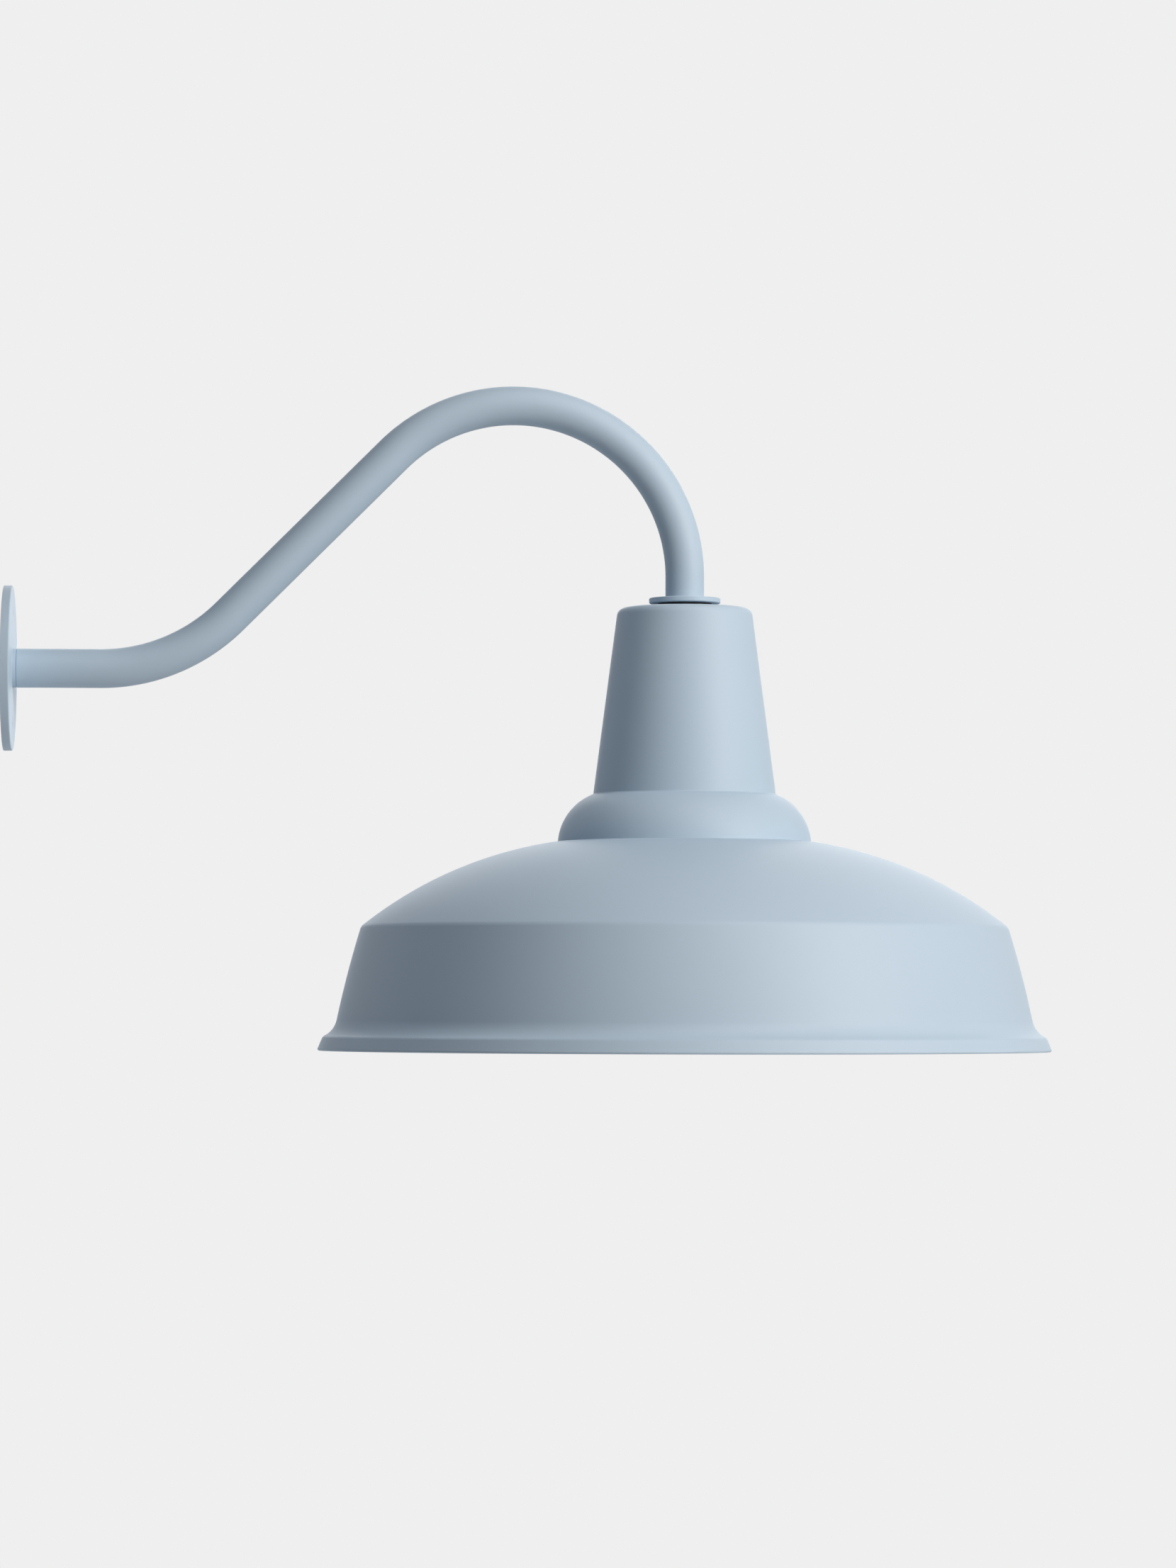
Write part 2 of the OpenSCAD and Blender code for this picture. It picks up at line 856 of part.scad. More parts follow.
module neck() {
    color([0.68, 0.76, 0.83])
        difference() {
            translate([arm_reach, 0, 0])
                rotate_extrude()
                    polygon(concat(neck_outline, reversed(inset(neck_outline, sheet_t))));
            shade_screw_places(foot_z - cut)
                cylinder(h = sheet_t + 2 * cut, r = shade_screw_r + screw_gap);
        }
}

module shade() {
    inner = reversed(inset(shade_outline, sheet_t));
    down = unit(rim - ledge_edge);
    back = [down.y, -down.x];
    hem_face = rim + back * 2 * sheet_t;
    color([0.68, 0.76, 0.83])
        difference() {
            translate([arm_reach, 0, 0])
                rotate_extrude()
                    polygon(concat(
                        shade_outline,
                        rest(arc(rim, hem_face, -sheet_t, 6)),
                        [hem_face - down * hem_h, hem_face - down * hem_h - back * sheet_t],
                        rest(inner)
                    ));
            shade_screw_places(foot_z - sheet_t - cut)
                cylinder(h = sheet_t + 2 * cut, r = shade_screw_r + screw_gap);
        }
}

// The places of the screws that join the neck and the shade, at one height
module shade_screw_places(z) {
    translate([arm_reach, 0, z])
        for (i = [0:shade_screw_count - 1])
            rotate([0, 0, 90 + i * 360 / shade_screw_count])
                translate([shade_screw_ring, 0, 0])
                    children();
}

module shade_screws() {
    color([0.76, 0.77, 0.78])
        shade_screw_places(foot_z - sheet_t)
            difference() {
                union() {
                    translate([0, 0, -head_h])
                        cylinder(h = head_h, r = head_r);
                    translate([0, 0, -head_h / 2])
                        cylinder(
                            h = head_h / 2 + 2 * sheet_t + small_nut_h + shade_screw_out,
                            r = shade_screw_r
                        );
                }
                translate([0, 0, -head_h])
                    mirror([0, 0, 1])
                        cross_slot(shade_screw_r, slot_depth);
            }
}

module shade_nuts() {
    color([0.76, 0.77, 0.78])
        shade_screw_places(foot_z + sheet_t)
            hex_nut(small_nut_flats, shade_screw_r + seat_gap, 0, small_nut_h);
}

// The bulb

module bulb_glass() {
    sphere_point = [bulb_r * cos(glass_angle), glass_sweep_z];
    sweep_end = [glass_neck_r, glass_sweep_z + glass_sweep_r * sin(glass_angle)];
    outline = concat(
        [[glass_neck_r, glass_top]],
        arc(sweep_end, sphere_point, glass_sweep_r, 10),
        rest(arc(sphere_point, [bulb_r, glass_centre], -bulb_r, 6)),
        rest(arc([bulb_r, glass_centre], [0, glass_end], -bulb_r, 12))
    );
    inner = [for (p = inset(outline, glass_t)) [max(p.x, 0), p.y]];
    color([0.9, 0.95, 1, 0.4])
        translate([arm_reach, 0, 0])
            rotate_extrude()
                polygon(concat(outline, reversed(inner)));
}

module bulb_cap() {
    crest = cap_d / 2;
    root = crest - thread_depth;
    shoulder_top = tip_z - insulator_h;
    first = shoulder_top - thread_lead_in;
    hole_r = insulator_r + seat_gap;
    turns = floor(thread_h / thread_pitch);
    thread = [for (i = [0:turns - 1]) each [
        [root, first - thread_pitch * i],
        [crest, first - thread_pitch * (i + 0.35)],
        [crest, first - thread_pitch * (i + 0.65)]
    ]];
    color([0.8, 0.8, 0.8])
        translate([arm_reach, 0, 0])
            rotate_extrude()
                polygon(concat(
                    [[hole_r, shoulder_top]],
                    thread,
                    [
                        [root, first - thread_pitch * turns],
                        [crest, first - thread_pitch * turns - thread_depth],
                        [crest, cap_rim],
                        [root - cap_sheet, cap_rim],
                        [root - cap_sheet, first - cap_sheet],
                        [hole_r, shoulder_top - cap_sheet]
                    ]
                ));
}

module bulb_insulator() {
    color([0.1, 0.12, 0.2])
        translate([arm_reach, 0, 0])
            rotate_extrude()
                polygon([
                    [0, tip_z - tip_h],
                    [tip_r, tip_z - tip_h],
                    [insulator_r, tip_z - insulator_h],
                    [insulator_r, tip_z - insulator_h - insulator_edge],
                    [0, tip_z - insulator_h - insulator_edge]
                ]);
}

module bulb_tip() {
    color([0.7, 0.7, 0.7])
        translate([arm_reach, 0, 0])
            rotate_extrude()
                polygon([
                    [0, tip_z],
                    [tip_flat_r, tip_z],
                    [tip_r, tip_z - tip_h],
                    [0, tip_z - tip_h]
                ]);
}

module bulb_stem() {
    top = cap_rim + stem_in;
    flange = [stem_flange_r, top - stem_flange_h];
    color([0.85, 0.92, 0.95, 0.5])
        translate([arm_reach, 0, 0])
            rotate_extrude()
                polygon(concat(
                    [[0, top], [stem_flange_r, top]],
                    arc(flange, [stem_r, flange.y - stem_sweep_h], stem_sweep_r, 8),
                    arc([stem_r, stem_end + stem_r], [0, stem_end], -stem_r, 5)
                ));
}

// Each strip runs from the stem's end outwards and down to its wire
module bulb_strips() {
    color([0.95, 0.8, 0.35])
        translate([arm_reach, 0, 0])
            for (i = [0:strip_count - 1])
                rotate([0, 0, (i + 0.5) * 360 / strip_count])
                    translate([strip_top_r, 0, strip_top])
                        rotate([0, 180 - strip_lean, 0])
                            cylinder(h = strip_length, r = strip_r);
}

module bulb_wires() {
    color([0.75, 0.75, 0.75])
        translate([arm_reach, 0, 0])
            union() {
                translate([0, 0, wire_z])
                    cylinder(h = stem_end - wire_z, r = wire_post_r);
                for (i = [0:strip_count - 1])
                    rotate([0, 0, (i + 0.5) * 360 / strip_count])
                        translate([0, 0, wire_z])
                            rotate([0, 90, 0])
                                cylinder(h = strip_end_r, r = wire_r);
            }
}

wall_plate();
wall_gasket();
mounting_ring();
ground_screw();
plate_screws();
root_locknut();
arm_pipe();
arm_collar();
rubber_washer();
swivel_nipple();
thrust_washer();
holder_bracket();
nipple_locknut();
nipple_bushing();
line_lead();
neutral_lead();
lead_terminals();
lamp_holder();
bracket_screws();
screw_shell();
centre_contact();
neck();
shade();
shade_screws();
shade_nuts();
bulb_glass();
bulb_cap();
bulb_insulator();
bulb_tip();
bulb_stem();
bulb_strips();
bulb_wires();
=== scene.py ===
import json
import math

import bmesh
import bpy
from mathutils import Matrix, Vector

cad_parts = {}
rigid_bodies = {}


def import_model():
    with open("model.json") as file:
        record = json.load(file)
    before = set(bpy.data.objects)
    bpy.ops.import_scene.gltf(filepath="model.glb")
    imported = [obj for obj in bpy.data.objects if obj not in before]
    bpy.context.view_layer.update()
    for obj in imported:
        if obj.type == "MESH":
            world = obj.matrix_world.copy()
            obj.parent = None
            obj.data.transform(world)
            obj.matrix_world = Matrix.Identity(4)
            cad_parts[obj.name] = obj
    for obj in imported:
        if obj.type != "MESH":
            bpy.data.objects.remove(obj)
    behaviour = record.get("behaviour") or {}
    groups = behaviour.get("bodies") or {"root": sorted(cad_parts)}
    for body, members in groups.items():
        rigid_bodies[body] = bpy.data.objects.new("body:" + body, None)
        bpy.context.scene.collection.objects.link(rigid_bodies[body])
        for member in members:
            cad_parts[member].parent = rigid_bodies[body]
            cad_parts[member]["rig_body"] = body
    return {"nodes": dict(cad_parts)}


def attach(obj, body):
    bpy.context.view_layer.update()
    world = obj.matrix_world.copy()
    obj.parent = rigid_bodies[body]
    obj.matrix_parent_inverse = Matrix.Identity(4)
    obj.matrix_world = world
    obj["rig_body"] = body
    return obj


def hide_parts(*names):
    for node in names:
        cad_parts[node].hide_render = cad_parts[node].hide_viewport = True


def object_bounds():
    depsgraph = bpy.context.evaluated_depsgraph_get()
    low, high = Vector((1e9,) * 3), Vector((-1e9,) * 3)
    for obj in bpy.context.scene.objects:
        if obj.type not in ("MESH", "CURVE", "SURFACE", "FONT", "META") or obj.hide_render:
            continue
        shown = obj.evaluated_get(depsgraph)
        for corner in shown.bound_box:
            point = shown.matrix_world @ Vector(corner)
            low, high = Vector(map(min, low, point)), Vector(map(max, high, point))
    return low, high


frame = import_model()
cad_low, cad_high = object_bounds()


# Camera. It stands about 3.7 m in front of the light, a little below the middle of the shade,
# and looks slightly up, with the wall plate at the picture's left edge.

PHOTO_SIZE = (1659, 2212)
SENSOR_MM = 36
FOCAL_IN_PHOTO_PIXELS = 7500
FARTHEST_SEEN = 60
camera_data = bpy.data.cameras.new("camera")
camera_data.sensor_width = SENSOR_MM
camera_data.lens = SENSOR_MM * FOCAL_IN_PHOTO_PIXELS / max(PHOTO_SIZE)
camera_data.clip_end = FARTHEST_SEEN
camera = bpy.data.objects.new("camera", camera_data)
bpy.context.scene.collection.objects.link(camera)
CAMERA_PLACE = Vector((0.20095, -3.6881, -0.23115))
CAMERA_YAW = 0.0552
CAMERA_PITCH = 0.0413
CAMERA_ROLL = 0.0021
sight = Vector((
    math.sin(CAMERA_YAW) * math.cos(CAMERA_PITCH),
    math.cos(CAMERA_YAW) * math.cos(CAMERA_PITCH),
    math.sin(CAMERA_PITCH),
))
side = Vector((math.cos(CAMERA_YAW), -math.sin(CAMERA_YAW), 0))
above = side.cross(sight)
turned_side = side * math.cos(CAMERA_ROLL) + above * math.sin(CAMERA_ROLL)
turned_above = turned_side.cross(sight)
camera.matrix_world = Matrix.Translation(CAMERA_PLACE) @ Matrix((
    turned_side, turned_above, -sight
)).transposed().to_4x4()
bpy.context.scene.camera = camera
bpy.context.scene.view_settings.view_transform = "Standard"


# Studio. A pale paper floor lies well below the light, which hangs on a wall that isn't shown.
# A broad lamp stands in front on the right, with weaker ones above it, behind and right below.

BACKGROUND = 0.863
ROOM_FILL = 0.1
FLOOR_DEPTH = 1.0
FLOOR_RADIUS = 6.0
FLOOR_SIDES = 96
MIDDLE = Vector((0.36, 0, -0.03))
LAMP_DISTANCE = 3.0
LAMP_SIZE = 1.3


def lamp(name, colour, azimuth, elevation, power, distance=LAMP_DISTANCE, size=LAMP_SIZE):
    """A square soft lamp turned to the middle of the light. Azimuth 0 is in front, 90 on the right."""
    data = bpy.data.lights.new(name, "AREA")
    data.shape = "SQUARE"
    data.size = size
    data.energy = power
    data.color = colour
    made = bpy.data.objects.new(name, data)
    turn, lift = math.radians(azimuth), math.radians(elevation)
    away = Vector((math.sin(turn) * math.cos(lift), -math.cos(turn) * math.cos(lift), math.sin(lift)))
    made.location = MIDDLE + away * distance
    made.rotation_euler = away.to_track_quat("Z", "Y").to_euler()
    made.visible_camera = False
    bpy.context.scene.collection.objects.link(made)


WARM = (1, 0.92, 0.84)
COOL = (0.76, 0.86, 1)
WHITE = (1, 1, 1)
lamp("window_lamp", WARM, azimuth=50, elevation=15, power=58)
lamp("high_right_lamp", WARM, azimuth=60, elevation=65, power=15)
lamp("high_front_lamp", WHITE, azimuth=30, elevation=40, power=21)
lamp("rear_lamp", WHITE, azimuth=174, elevation=20, power=27, size=2.4)
lamp("left_rear_lamp", COOL, azimuth=-120, elevation=20, power=6)
# The paper floor would hide a lamp below it, so this one is small and close.
lamp("under_lamp", WHITE, azimuth=90, elevation=-81, power=0.7, distance=0.72, size=0.4)


def seen_directly(nodes, links):
    """Is 1 for what the camera sees itself, in a shiny surface or through glass, else 0."""
    ray = nodes.new("ShaderNodeLightPath")
    found = ray.outputs["Is Camera Ray"]
    for kind in ("Is Glossy Ray", "Is Transmission Ray"):
        either = nodes.new("ShaderNodeMath")
        either.operation = "MAXIMUM"
        links.new(found, either.inputs[0])
        links.new(ray.outputs[kind], either.inputs[1])
        found = either.outputs[0]
    return found


world = bpy.data.worlds.new("room")
bpy.context.scene.world = world
world.use_nodes = True
nodes, links = world.node_tree.nodes, world.node_tree.links
nodes.clear()
fill = nodes.new("ShaderNodeBackground")
fill.inputs["Color"].default_value = (*COOL, 1)
fill.inputs["Strength"].default_value = ROOM_FILL
plain = nodes.new("ShaderNodeBackground")
plain.inputs["Color"].default_value = (BACKGROUND, BACKGROUND, BACKGROUND, 1)
pick = nodes.new("ShaderNodeMixShader")
links.new(seen_directly(nodes, links), pick.inputs["Fac"])
links.new(fill.outputs[0], pick.inputs[1])
links.new(plain.outputs[0], pick.inputs[2])
links.new(pick.outputs[0], nodes.new("ShaderNodeOutputWorld").inputs["Surface"])

floor_mesh = bpy.data.meshes.new("floor")
shape = bmesh.new()
bmesh.ops.create_circle(shape, cap_ends=True, segments=FLOOR_SIDES, radius=FLOOR_RADIUS)
shape.to_mesh(floor_mesh)
shape.free()
floor = bpy.data.objects.new("floor", floor_mesh)
floor.location = (MIDDLE.x, 0, cad_low.z - FLOOR_DEPTH)
bpy.context.scene.collection.objects.link(floor)

# The paper takes the light's shadow round the middle and runs out into the plain background. Only
# what looks at it sees its glow, so it throws no more light on the piece than pale paper does. From
# underneath it is clear.
PAPER = 0.8
PAPER_GLOW = 0.27
LIT_RADIUS = 0.5
FADED_RADIUS = 2.2
floor_paper = bpy.data.materials.new("floor_paper")
floor_paper.use_nodes = True
nodes, links = floor_paper.node_tree.nodes, floor_paper.node_tree.links
nodes.clear()
paper = nodes.new("ShaderNodeBsdfDiffuse")
paper.inputs["Color"].default_value = (PAPER, PAPER, PAPER, 1)
glow = nodes.new("ShaderNodeEmission")
glow.inputs["Color"].default_value = (*WHITE, 1)
glow.inputs["Strength"].default_value = PAPER_GLOW
lit_paper = nodes.new("ShaderNodeAddShader")
links.new(paper.outputs[0], lit_paper.inputs[0])
links.new(glow.outputs[0], lit_paper.inputs[1])
edge_tone = nodes.new("ShaderNodeEmission")
edge_tone.inputs["Color"].default_value = (BACKGROUND, BACKGROUND, BACKGROUND, 1)
where = nodes.new("ShaderNodeTexCoord")
reach = nodes.new("ShaderNodeVectorMath")
reach.operation = "LENGTH"
links.new(where.outputs["Object"], reach.inputs[0])
fade = nodes.new("ShaderNodeMapRange")
fade.interpolation_type = "SMOOTHSTEP"
fade.inputs["From Min"].default_value = LIT_RADIUS
fade.inputs["From Max"].default_value = FADED_RADIUS
links.new(reach.outputs["Value"], fade.inputs["Value"])
tone = nodes.new("ShaderNodeMixShader")
links.new(fade.outputs["Result"], tone.inputs["Fac"])
links.new(lit_paper.outputs[0], tone.inputs[1])
links.new(edge_tone.outputs[0], tone.inputs[2])
looked_at = nodes.new("ShaderNodeMixShader")
links.new(seen_directly(nodes, links), looked_at.inputs["Fac"])
links.new(paper.outputs[0], looked_at.inputs[1])
links.new(tone.outputs[0], looked_at.inputs[2])
sides_of_paper = nodes.new("ShaderNodeNewGeometry")
clear = nodes.new("ShaderNodeBsdfTransparent")
face = nodes.new("ShaderNodeMixShader")
links.new(sides_of_paper.outputs["Backfacing"], face.inputs["Fac"])
links.new(looked_at.outputs[0], face.inputs[1])
links.new(clear.outputs[0], face.inputs[2])
links.new(face.outputs[0], nodes.new("ShaderNodeOutputMaterial").inputs["Surface"])
floor_mesh.materials.append(floor_paper)


# Wall plate. A cast metal disc with a rounded front edge and a short hub, powder coated all over.
# Its hollow back holds the gasket, the mounting ring and the nut that grips the pipe.

PAINT_COLOUR = (0.458, 0.58, 0.698)
PAINT_ROUGHNESS = 0.55
PAINT_SHEEN = 0.45
ROUGHNESS_DRIFT = 0.12
SHARP_ANGLE = 35
FLAT_ANGLE = 0.3
SAME_POINT = 1e-6


def pattern(finish, scale, detail=2, stretch=(1, 1, 1), cells=False):
    """Clouds, or cells, of about that many to the metre, as a value laid through the piece."""
    nodes, links = finish.node_tree.nodes, finish.node_tree.links
    place = nodes.new("ShaderNodeTexCoord")
    spread = nodes.new("ShaderNodeMapping")
    spread.inputs["Scale"].default_value = stretch
    links.new(place.outputs["Object"], spread.inputs["Vector"])
    made = nodes.new("ShaderNodeTexVoronoi" if cells else "ShaderNodeTexNoise")
    made.inputs["Scale"].default_value = scale
    if not cells:
        made.inputs["Detail"].default_value = detail
    links.new(spread.outputs["Vector"], made.inputs["Vector"])
    return made.outputs["Distance" if cells else "Fac"]


def tint(finish, value, low, high):
    """The colour runs from low to high with a value."""
    nodes, links = finish.node_tree.nodes, finish.node_tree.links
    mix = nodes.new("ShaderNodeMix")
    mix.data_type = "RGBA"
    mix.inputs["A"].default_value = (*low, 1)
    mix.inputs["B"].default_value = (*high, 1)
    links.new(value, mix.inputs["Factor"])
    links.new(mix.outputs["Result"], nodes["Principled BSDF"].inputs["Base Color"])


def shine(finish, value, low, high):
    """The roughness runs from low to high with a value."""
    nodes, links = finish.node_tree.nodes, finish.node_tree.links
    span = nodes.new("ShaderNodeMapRange")
    span.inputs["To Min"].default_value = low
    span.inputs["To Max"].default_value = high
    links.new(value, span.inputs["Value"])
    links.new(span.outputs["Result"], nodes["Principled BSDF"].inputs["Roughness"])


def relief(finish, value, depth):
    """The skin rises by depth metres with a value, on top of any relief that it has."""
    nodes, links = finish.node_tree.nodes, finish.node_tree.links
    normal = nodes["Principled BSDF"].inputs["Normal"]
    bump = nodes.new("ShaderNodeBump")
    bump.inputs["Strength"].default_value = 1
    bump.inputs["Distance"].default_value = depth
    links.new(value, bump.inputs["Height"])
    if normal.is_linked:
        links.new(normal.links[0].from_socket, bump.inputs["Normal"])
    links.new(bump.outputs["Normal"], normal)


def coating(name, colour, roughness, clouds, drift, grains, depth):
    """A skin of paint, glaze, plastic or rubber. Its colour drifts by that share in clouds, and its
    grain stands up by depth metres; clouds and grains say how many there are to the metre."""
    made = bpy.data.materials.new(name)
    made.use_nodes = True
    cloud = pattern(made, clouds, detail=3)
    tint(made, cloud, [c * (1 - drift) for c in colour], [min(1, c * (1 + drift)) for c in colour])
    shine(made, cloud, roughness * (1 - ROUGHNESS_DRIFT), roughness * (1 + ROUGHNESS_DRIFT))
    relief(made, pattern(made, grains), depth)
    return made


blue_paint = coating(
    "blue_powder_coat", PAINT_COLOUR,
    roughness=PAINT_ROUGHNESS, clouds=6, drift=0.04, grains=450, depth=0.000012
)
blue_paint.node_tree.nodes["Principled BSDF"].inputs["Specular IOR Level"].default_value = PAINT_SHEEN


def fit_piece(name, shape, finishes, node, sharp_angle=SHARP_ANGLE):
    """Makes a smooth piece of a finished shape. It stands for one CAD node and rides on its body."""
    mesh = bpy.data.meshes.new(name)
    bmesh.ops.recalc_face_normals(shape, faces=shape.faces)
    for one in shape.faces:
        one.smooth = True
    shape.to_mesh(mesh)
    shape.free()
    mesh.set_sharp_from_angle(angle=math.radians(sharp_angle))
    for finish in finishes:
        mesh.materials.append(finish)
    piece = bpy.data.objects.new(name, mesh)
    bpy.context.scene.collection.objects.link(piece)
    flats = piece.modifiers.new("flats_stay_flat", "WEIGHTED_NORMAL")
    flats.keep_sharp = True
    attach(piece, frame["nodes"][node]["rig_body"])
    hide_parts(node)
    return piece


def eased(name, node, finish, edge):
    """The CAD piece with its sharp edges rounded off to that width."""
    shape = bmesh.new()
    shape.from_mesh(frame["nodes"][node].data)
    bmesh.ops.remove_doubles(shape, verts=shape.verts, dist=SAME_POINT)
    bmesh.ops.dissolve_limit(
        shape, angle_limit=math.radians(FLAT_ANGLE), verts=shape.verts, edges=shape.edges,
        delimit={"NORMAL"}
    )
    sharp = [
        one for one in shape.edges
        if len(one.link_faces) == 2 and one.calc_face_angle(0) > math.radians(SHARP_ANGLE)
    ]
    bmesh.ops.bevel(
        shape, geom=sharp, offset=edge, offset_type="OFFSET", segments=3, profile=0.5,
        affect="EDGES", clamp_overlap=True
    )
    return fit_piece(name, shape, [finish], node)


eased("plate_casting", "wall_plate", blue_paint, edge=0.0003)


# Plate screws. Two countersunk steel machine screws with cross recesses, painted with the plate.
# They go through its face into the tapped collars of the mounting ring.

eased("plate_screw_pair", "plate_screws", blue_paint, edge=0.00015)


# Gasket. A ring punched from closed-cell foam, which keeps rain from running in behind the plate.
# It fills the space between the plate's rim and the mounting ring, and is squeezed against the wall.

GASKET_OUTER = 0.0541
GASKET_INNER = 0.0503
GASKET_DEPTH = 0.004
GASKET_EDGE = 0.0005
ROUND_SIDES = 96
ON_AXIS = 1e-7


def arc(start, end, radius, steps):
    """Points of the arc from start to end that turns left where radius is positive, else right."""
    chord = end - start
    half = chord.length / 2
    turn = math.copysign(1, radius)
    across = Vector((-chord.y, chord.x)) / chord.length
    centre = (start + end) / 2 + across * turn * math.sqrt(max(0, radius ** 2 - half ** 2))
    first = math.atan2(start.y - centre.y, start.x - centre.x)
    sweep = 2 * turn * math.asin(min(1, half / abs(radius)))
    angles = [first + sweep * i / steps for i in range(steps + 1)]
    return [centre + abs(radius) * Vector((math.cos(angle), math.sin(angle))) for angle in angles]


def rounded(before, corner, after, radius, steps):
    """The arc that rounds a corner between the points before and after it."""
    to_before = (before - corner).normalized()
    to_after = (after - corner).normalized()
    back = radius / math.tan(to_before.angle(to_after) / 2)
    turn = (corner - before).x * (after - before).y - (corner - before).y * (after - before).x
    return arc(corner + to_before * back, corner + to_after * back, math.copysign(radius, turn), steps)


def ring_section(inner, outer, low, high, edge):
    """The section of a flat ring with rounded edges, as (radius, height) points."""
    corners = [Vector((inner, low)), Vector((outer, low)), Vector((outer, high)), Vector((inner, high))]
    section = []
    for i, corner in enumerate(corners):
        section += rounded(corners[i - 1], corner, corners[(i + 1) % 4], edge, steps=4)
    return section


def join_rings(shape, rings, closed=False, finishes=None):
    """Faces between neighbouring rings, and from the last back to the first where closed."""
    pairs = list(zip(rings, rings[1:]))
    if closed:
        pairs.append((rings[-1], rings[0]))
    for k, (low, high) in enumerate(pairs):
        count = max(len(low), len(high))
        for i in range(count):
            j = (i + 1) % count
            corners = [low[i % len(low)], low[j % len(low)], high[j % len(high)], high[i % len(high)]]
            kept = []
            for corner in corners:
                if corner not in kept:
                    kept.append(corner)
            if len(kept) > 2:
                made = shape.faces.new(kept)
                if finishes:
                    made.material_index = finishes[k]


def outward(radius, angle, height):
    """A point round the wall plate's centre line, with its height measured out of the wall."""
    return height, radius * math.cos(angle), radius * math.sin(angle)


def turn_round(shape, section, stand, sides=ROUND_SIDES, finishes=None):
    """Sweeps a closed section of (radius, height) points round; section may be given for each angle."""
    angles = [2 * math.pi * i / sides for i in range(sides)]
    sections = [section(angle) if callable(section) else section for angle in angles]
    rings = []
    for k, first in enumerate(sections[0]):
        if first.x < ON_AXIS:
            places = [stand(0, 0, first.y)]
        else:
            places = [stand(one[k].x, angle, one[k].y) for angle, one in zip(angles, sections)]
        rings.append([shape.verts.new(place) for place in places])
    join_rings(shape, rings, closed=True, finishes=finishes)


foam = coating(
    "closed_cell_foam", (0.045, 0.045, 0.047),
    roughness=0.9, clouds=120, drift=0.2, grains=2500, depth=0.00003
)
relief(foam, pattern(foam, 1300, cells=True), depth=0.00018)
gasket = bmesh.new()
turn_round(gasket, ring_section(GASKET_INNER, GASKET_OUTER, 0, GASKET_DEPTH, GASKET_EDGE), outward)
fit_piece("foam_gasket", gasket, [foam], "wall_gasket")


# Mounting ring. A stamped and zinc-plated steel strap ring with two slots for the outlet box's
# screws and two tapped collars that take the plate screws.

DULL_CLOUDS = 60
DULLEST = 0.86
BRIGHTEST = 1.08
POLISH_DRIFT = 0.1
MARK_DEPTH = 0.000008


def metal(name, colour, roughness, marks=1400, drawn=(1, 1, 1)):
    """Bare or plated metal, dulled in soft clouds, with fine working marks that may be drawn out."""
    made = bpy.data.materials.new(name)
    made.use_nodes = True
    made.node_tree.nodes["Principled BSDF"].inputs["Metallic"].default_value = 1
    cloud = pattern(made, DULL_CLOUDS, detail=4)
    tint(made, cloud, [c * DULLEST for c in colour], [min(1, c * BRIGHTEST) for c in colour])
    mark = pattern(made, marks, detail=3, stretch=drawn)
    shine(made, mark, roughness - POLISH_DRIFT, roughness + POLISH_DRIFT)
    relief(made, mark, MARK_DEPTH)
    return made


zinc = metal("zinc_plate", (0.55, 0.56, 0.57), roughness=0.34)
relief(zinc, pattern(zinc, 260, cells=True), depth=0.000015)
eased("stamped_ring", "mounting_ring", zinc, edge=0.0002)


# Ground screw. A slotted hexagon screw of steel with a flange, plated green as a ground screw has to
# be, and driven into the mounting ring. The supply's ground wire goes under its head.

green_plate = metal("green_plate", (0.07, 0.34, 0.15), roughness=0.34)
eased("green_ground_screw", "ground_screw", green_plate, edge=0.00015)


# Arm. One length of 3/4 inch steel pipe, bent on a former and powder coated with the plate.
# Its root is turned down and threaded. It leaves the wall level, climbs, arches over and comes down.

REACH = 0.472
RISE = 0.185
CLIMB = math.radians(45)
FIRST_BEND = 0.126
ARCH = 0.119
TAIL = 0.0184
PIPE_RADIUS = 0.0135
BORE_RADIUS = 0.0106
HUB_FACE = 0.0085
PIPE_CHAMFER = 0.0005
ROOT_RADIUS = 0.0122
ROOT_START = 0.0003
PIPE_THREAD_PITCH = 0.0254 / 14
PIPE_THREAD_DEPTH = 0.0007
THREAD_FLAT = 0.1
ROOT_STEPS = 48
BEND_STEPS = 48
PIPE_SIDES = 72

climb_length = (RISE - (FIRST_BEND + ARCH) * (1 - math.cos(CLIMB))) / math.sin(CLIMB)
first_bend_x = REACH - ARCH - (FIRST_BEND + ARCH) * math.sin(CLIMB) - climb_length * math.cos(CLIMB)
arch_z = RISE - ARCH
pipe_end = arch_z - TAIL


def arm_stop(x, z, angle):
    """A stop on the arm's centre line, where it climbs at an angle: place, direction and upper side."""
    direction = Vector((math.cos(angle), 0, math.sin(angle)))
    return Vector((x, 0, z)), direction, Vector((-direction.z, 0, direction.x))


def arm_path(start_x, end_z):
    """The stops of the arm's centre line, from the wall to its lower end."""
    path = [arm_stop(start_x, 0, 0)]
    for i in range(BEND_STEPS + 1):
        angle = CLIMB * i / BEND_STEPS
        path.append(arm_stop(
            first_bend_x + FIRST_BEND * math.sin(angle), FIRST_BEND * (1 - math.cos(angle)), angle
        ))
    for i in range(2 * BEND_STEPS + 1):
        angle = CLIMB - (CLIMB + math.pi / 2) * i / (2 * BEND_STEPS)
        path.append(arm_stop(
            REACH - ARCH - ARCH * math.sin(angle), arch_z + ARCH * math.cos(angle), angle
        ))
    path.append(arm_stop(REACH, end_z, -math.pi / 2))
    return path


def ring_round(shape, stop, radius, sides):
    """A ring of corners at a stop, square to its direction; radius may be given for each angle."""
    place, direction, up = stop
    across = up.cross(direction)
    ring = []
    for i in range(sides):
        angle = 2 * math.pi * i / sides
        away = radius(angle) if callable(radius) else radius
        ring.append(shape.verts.new(place + away * (up * math.cos(angle) + across * math.sin(angle))))
    return ring


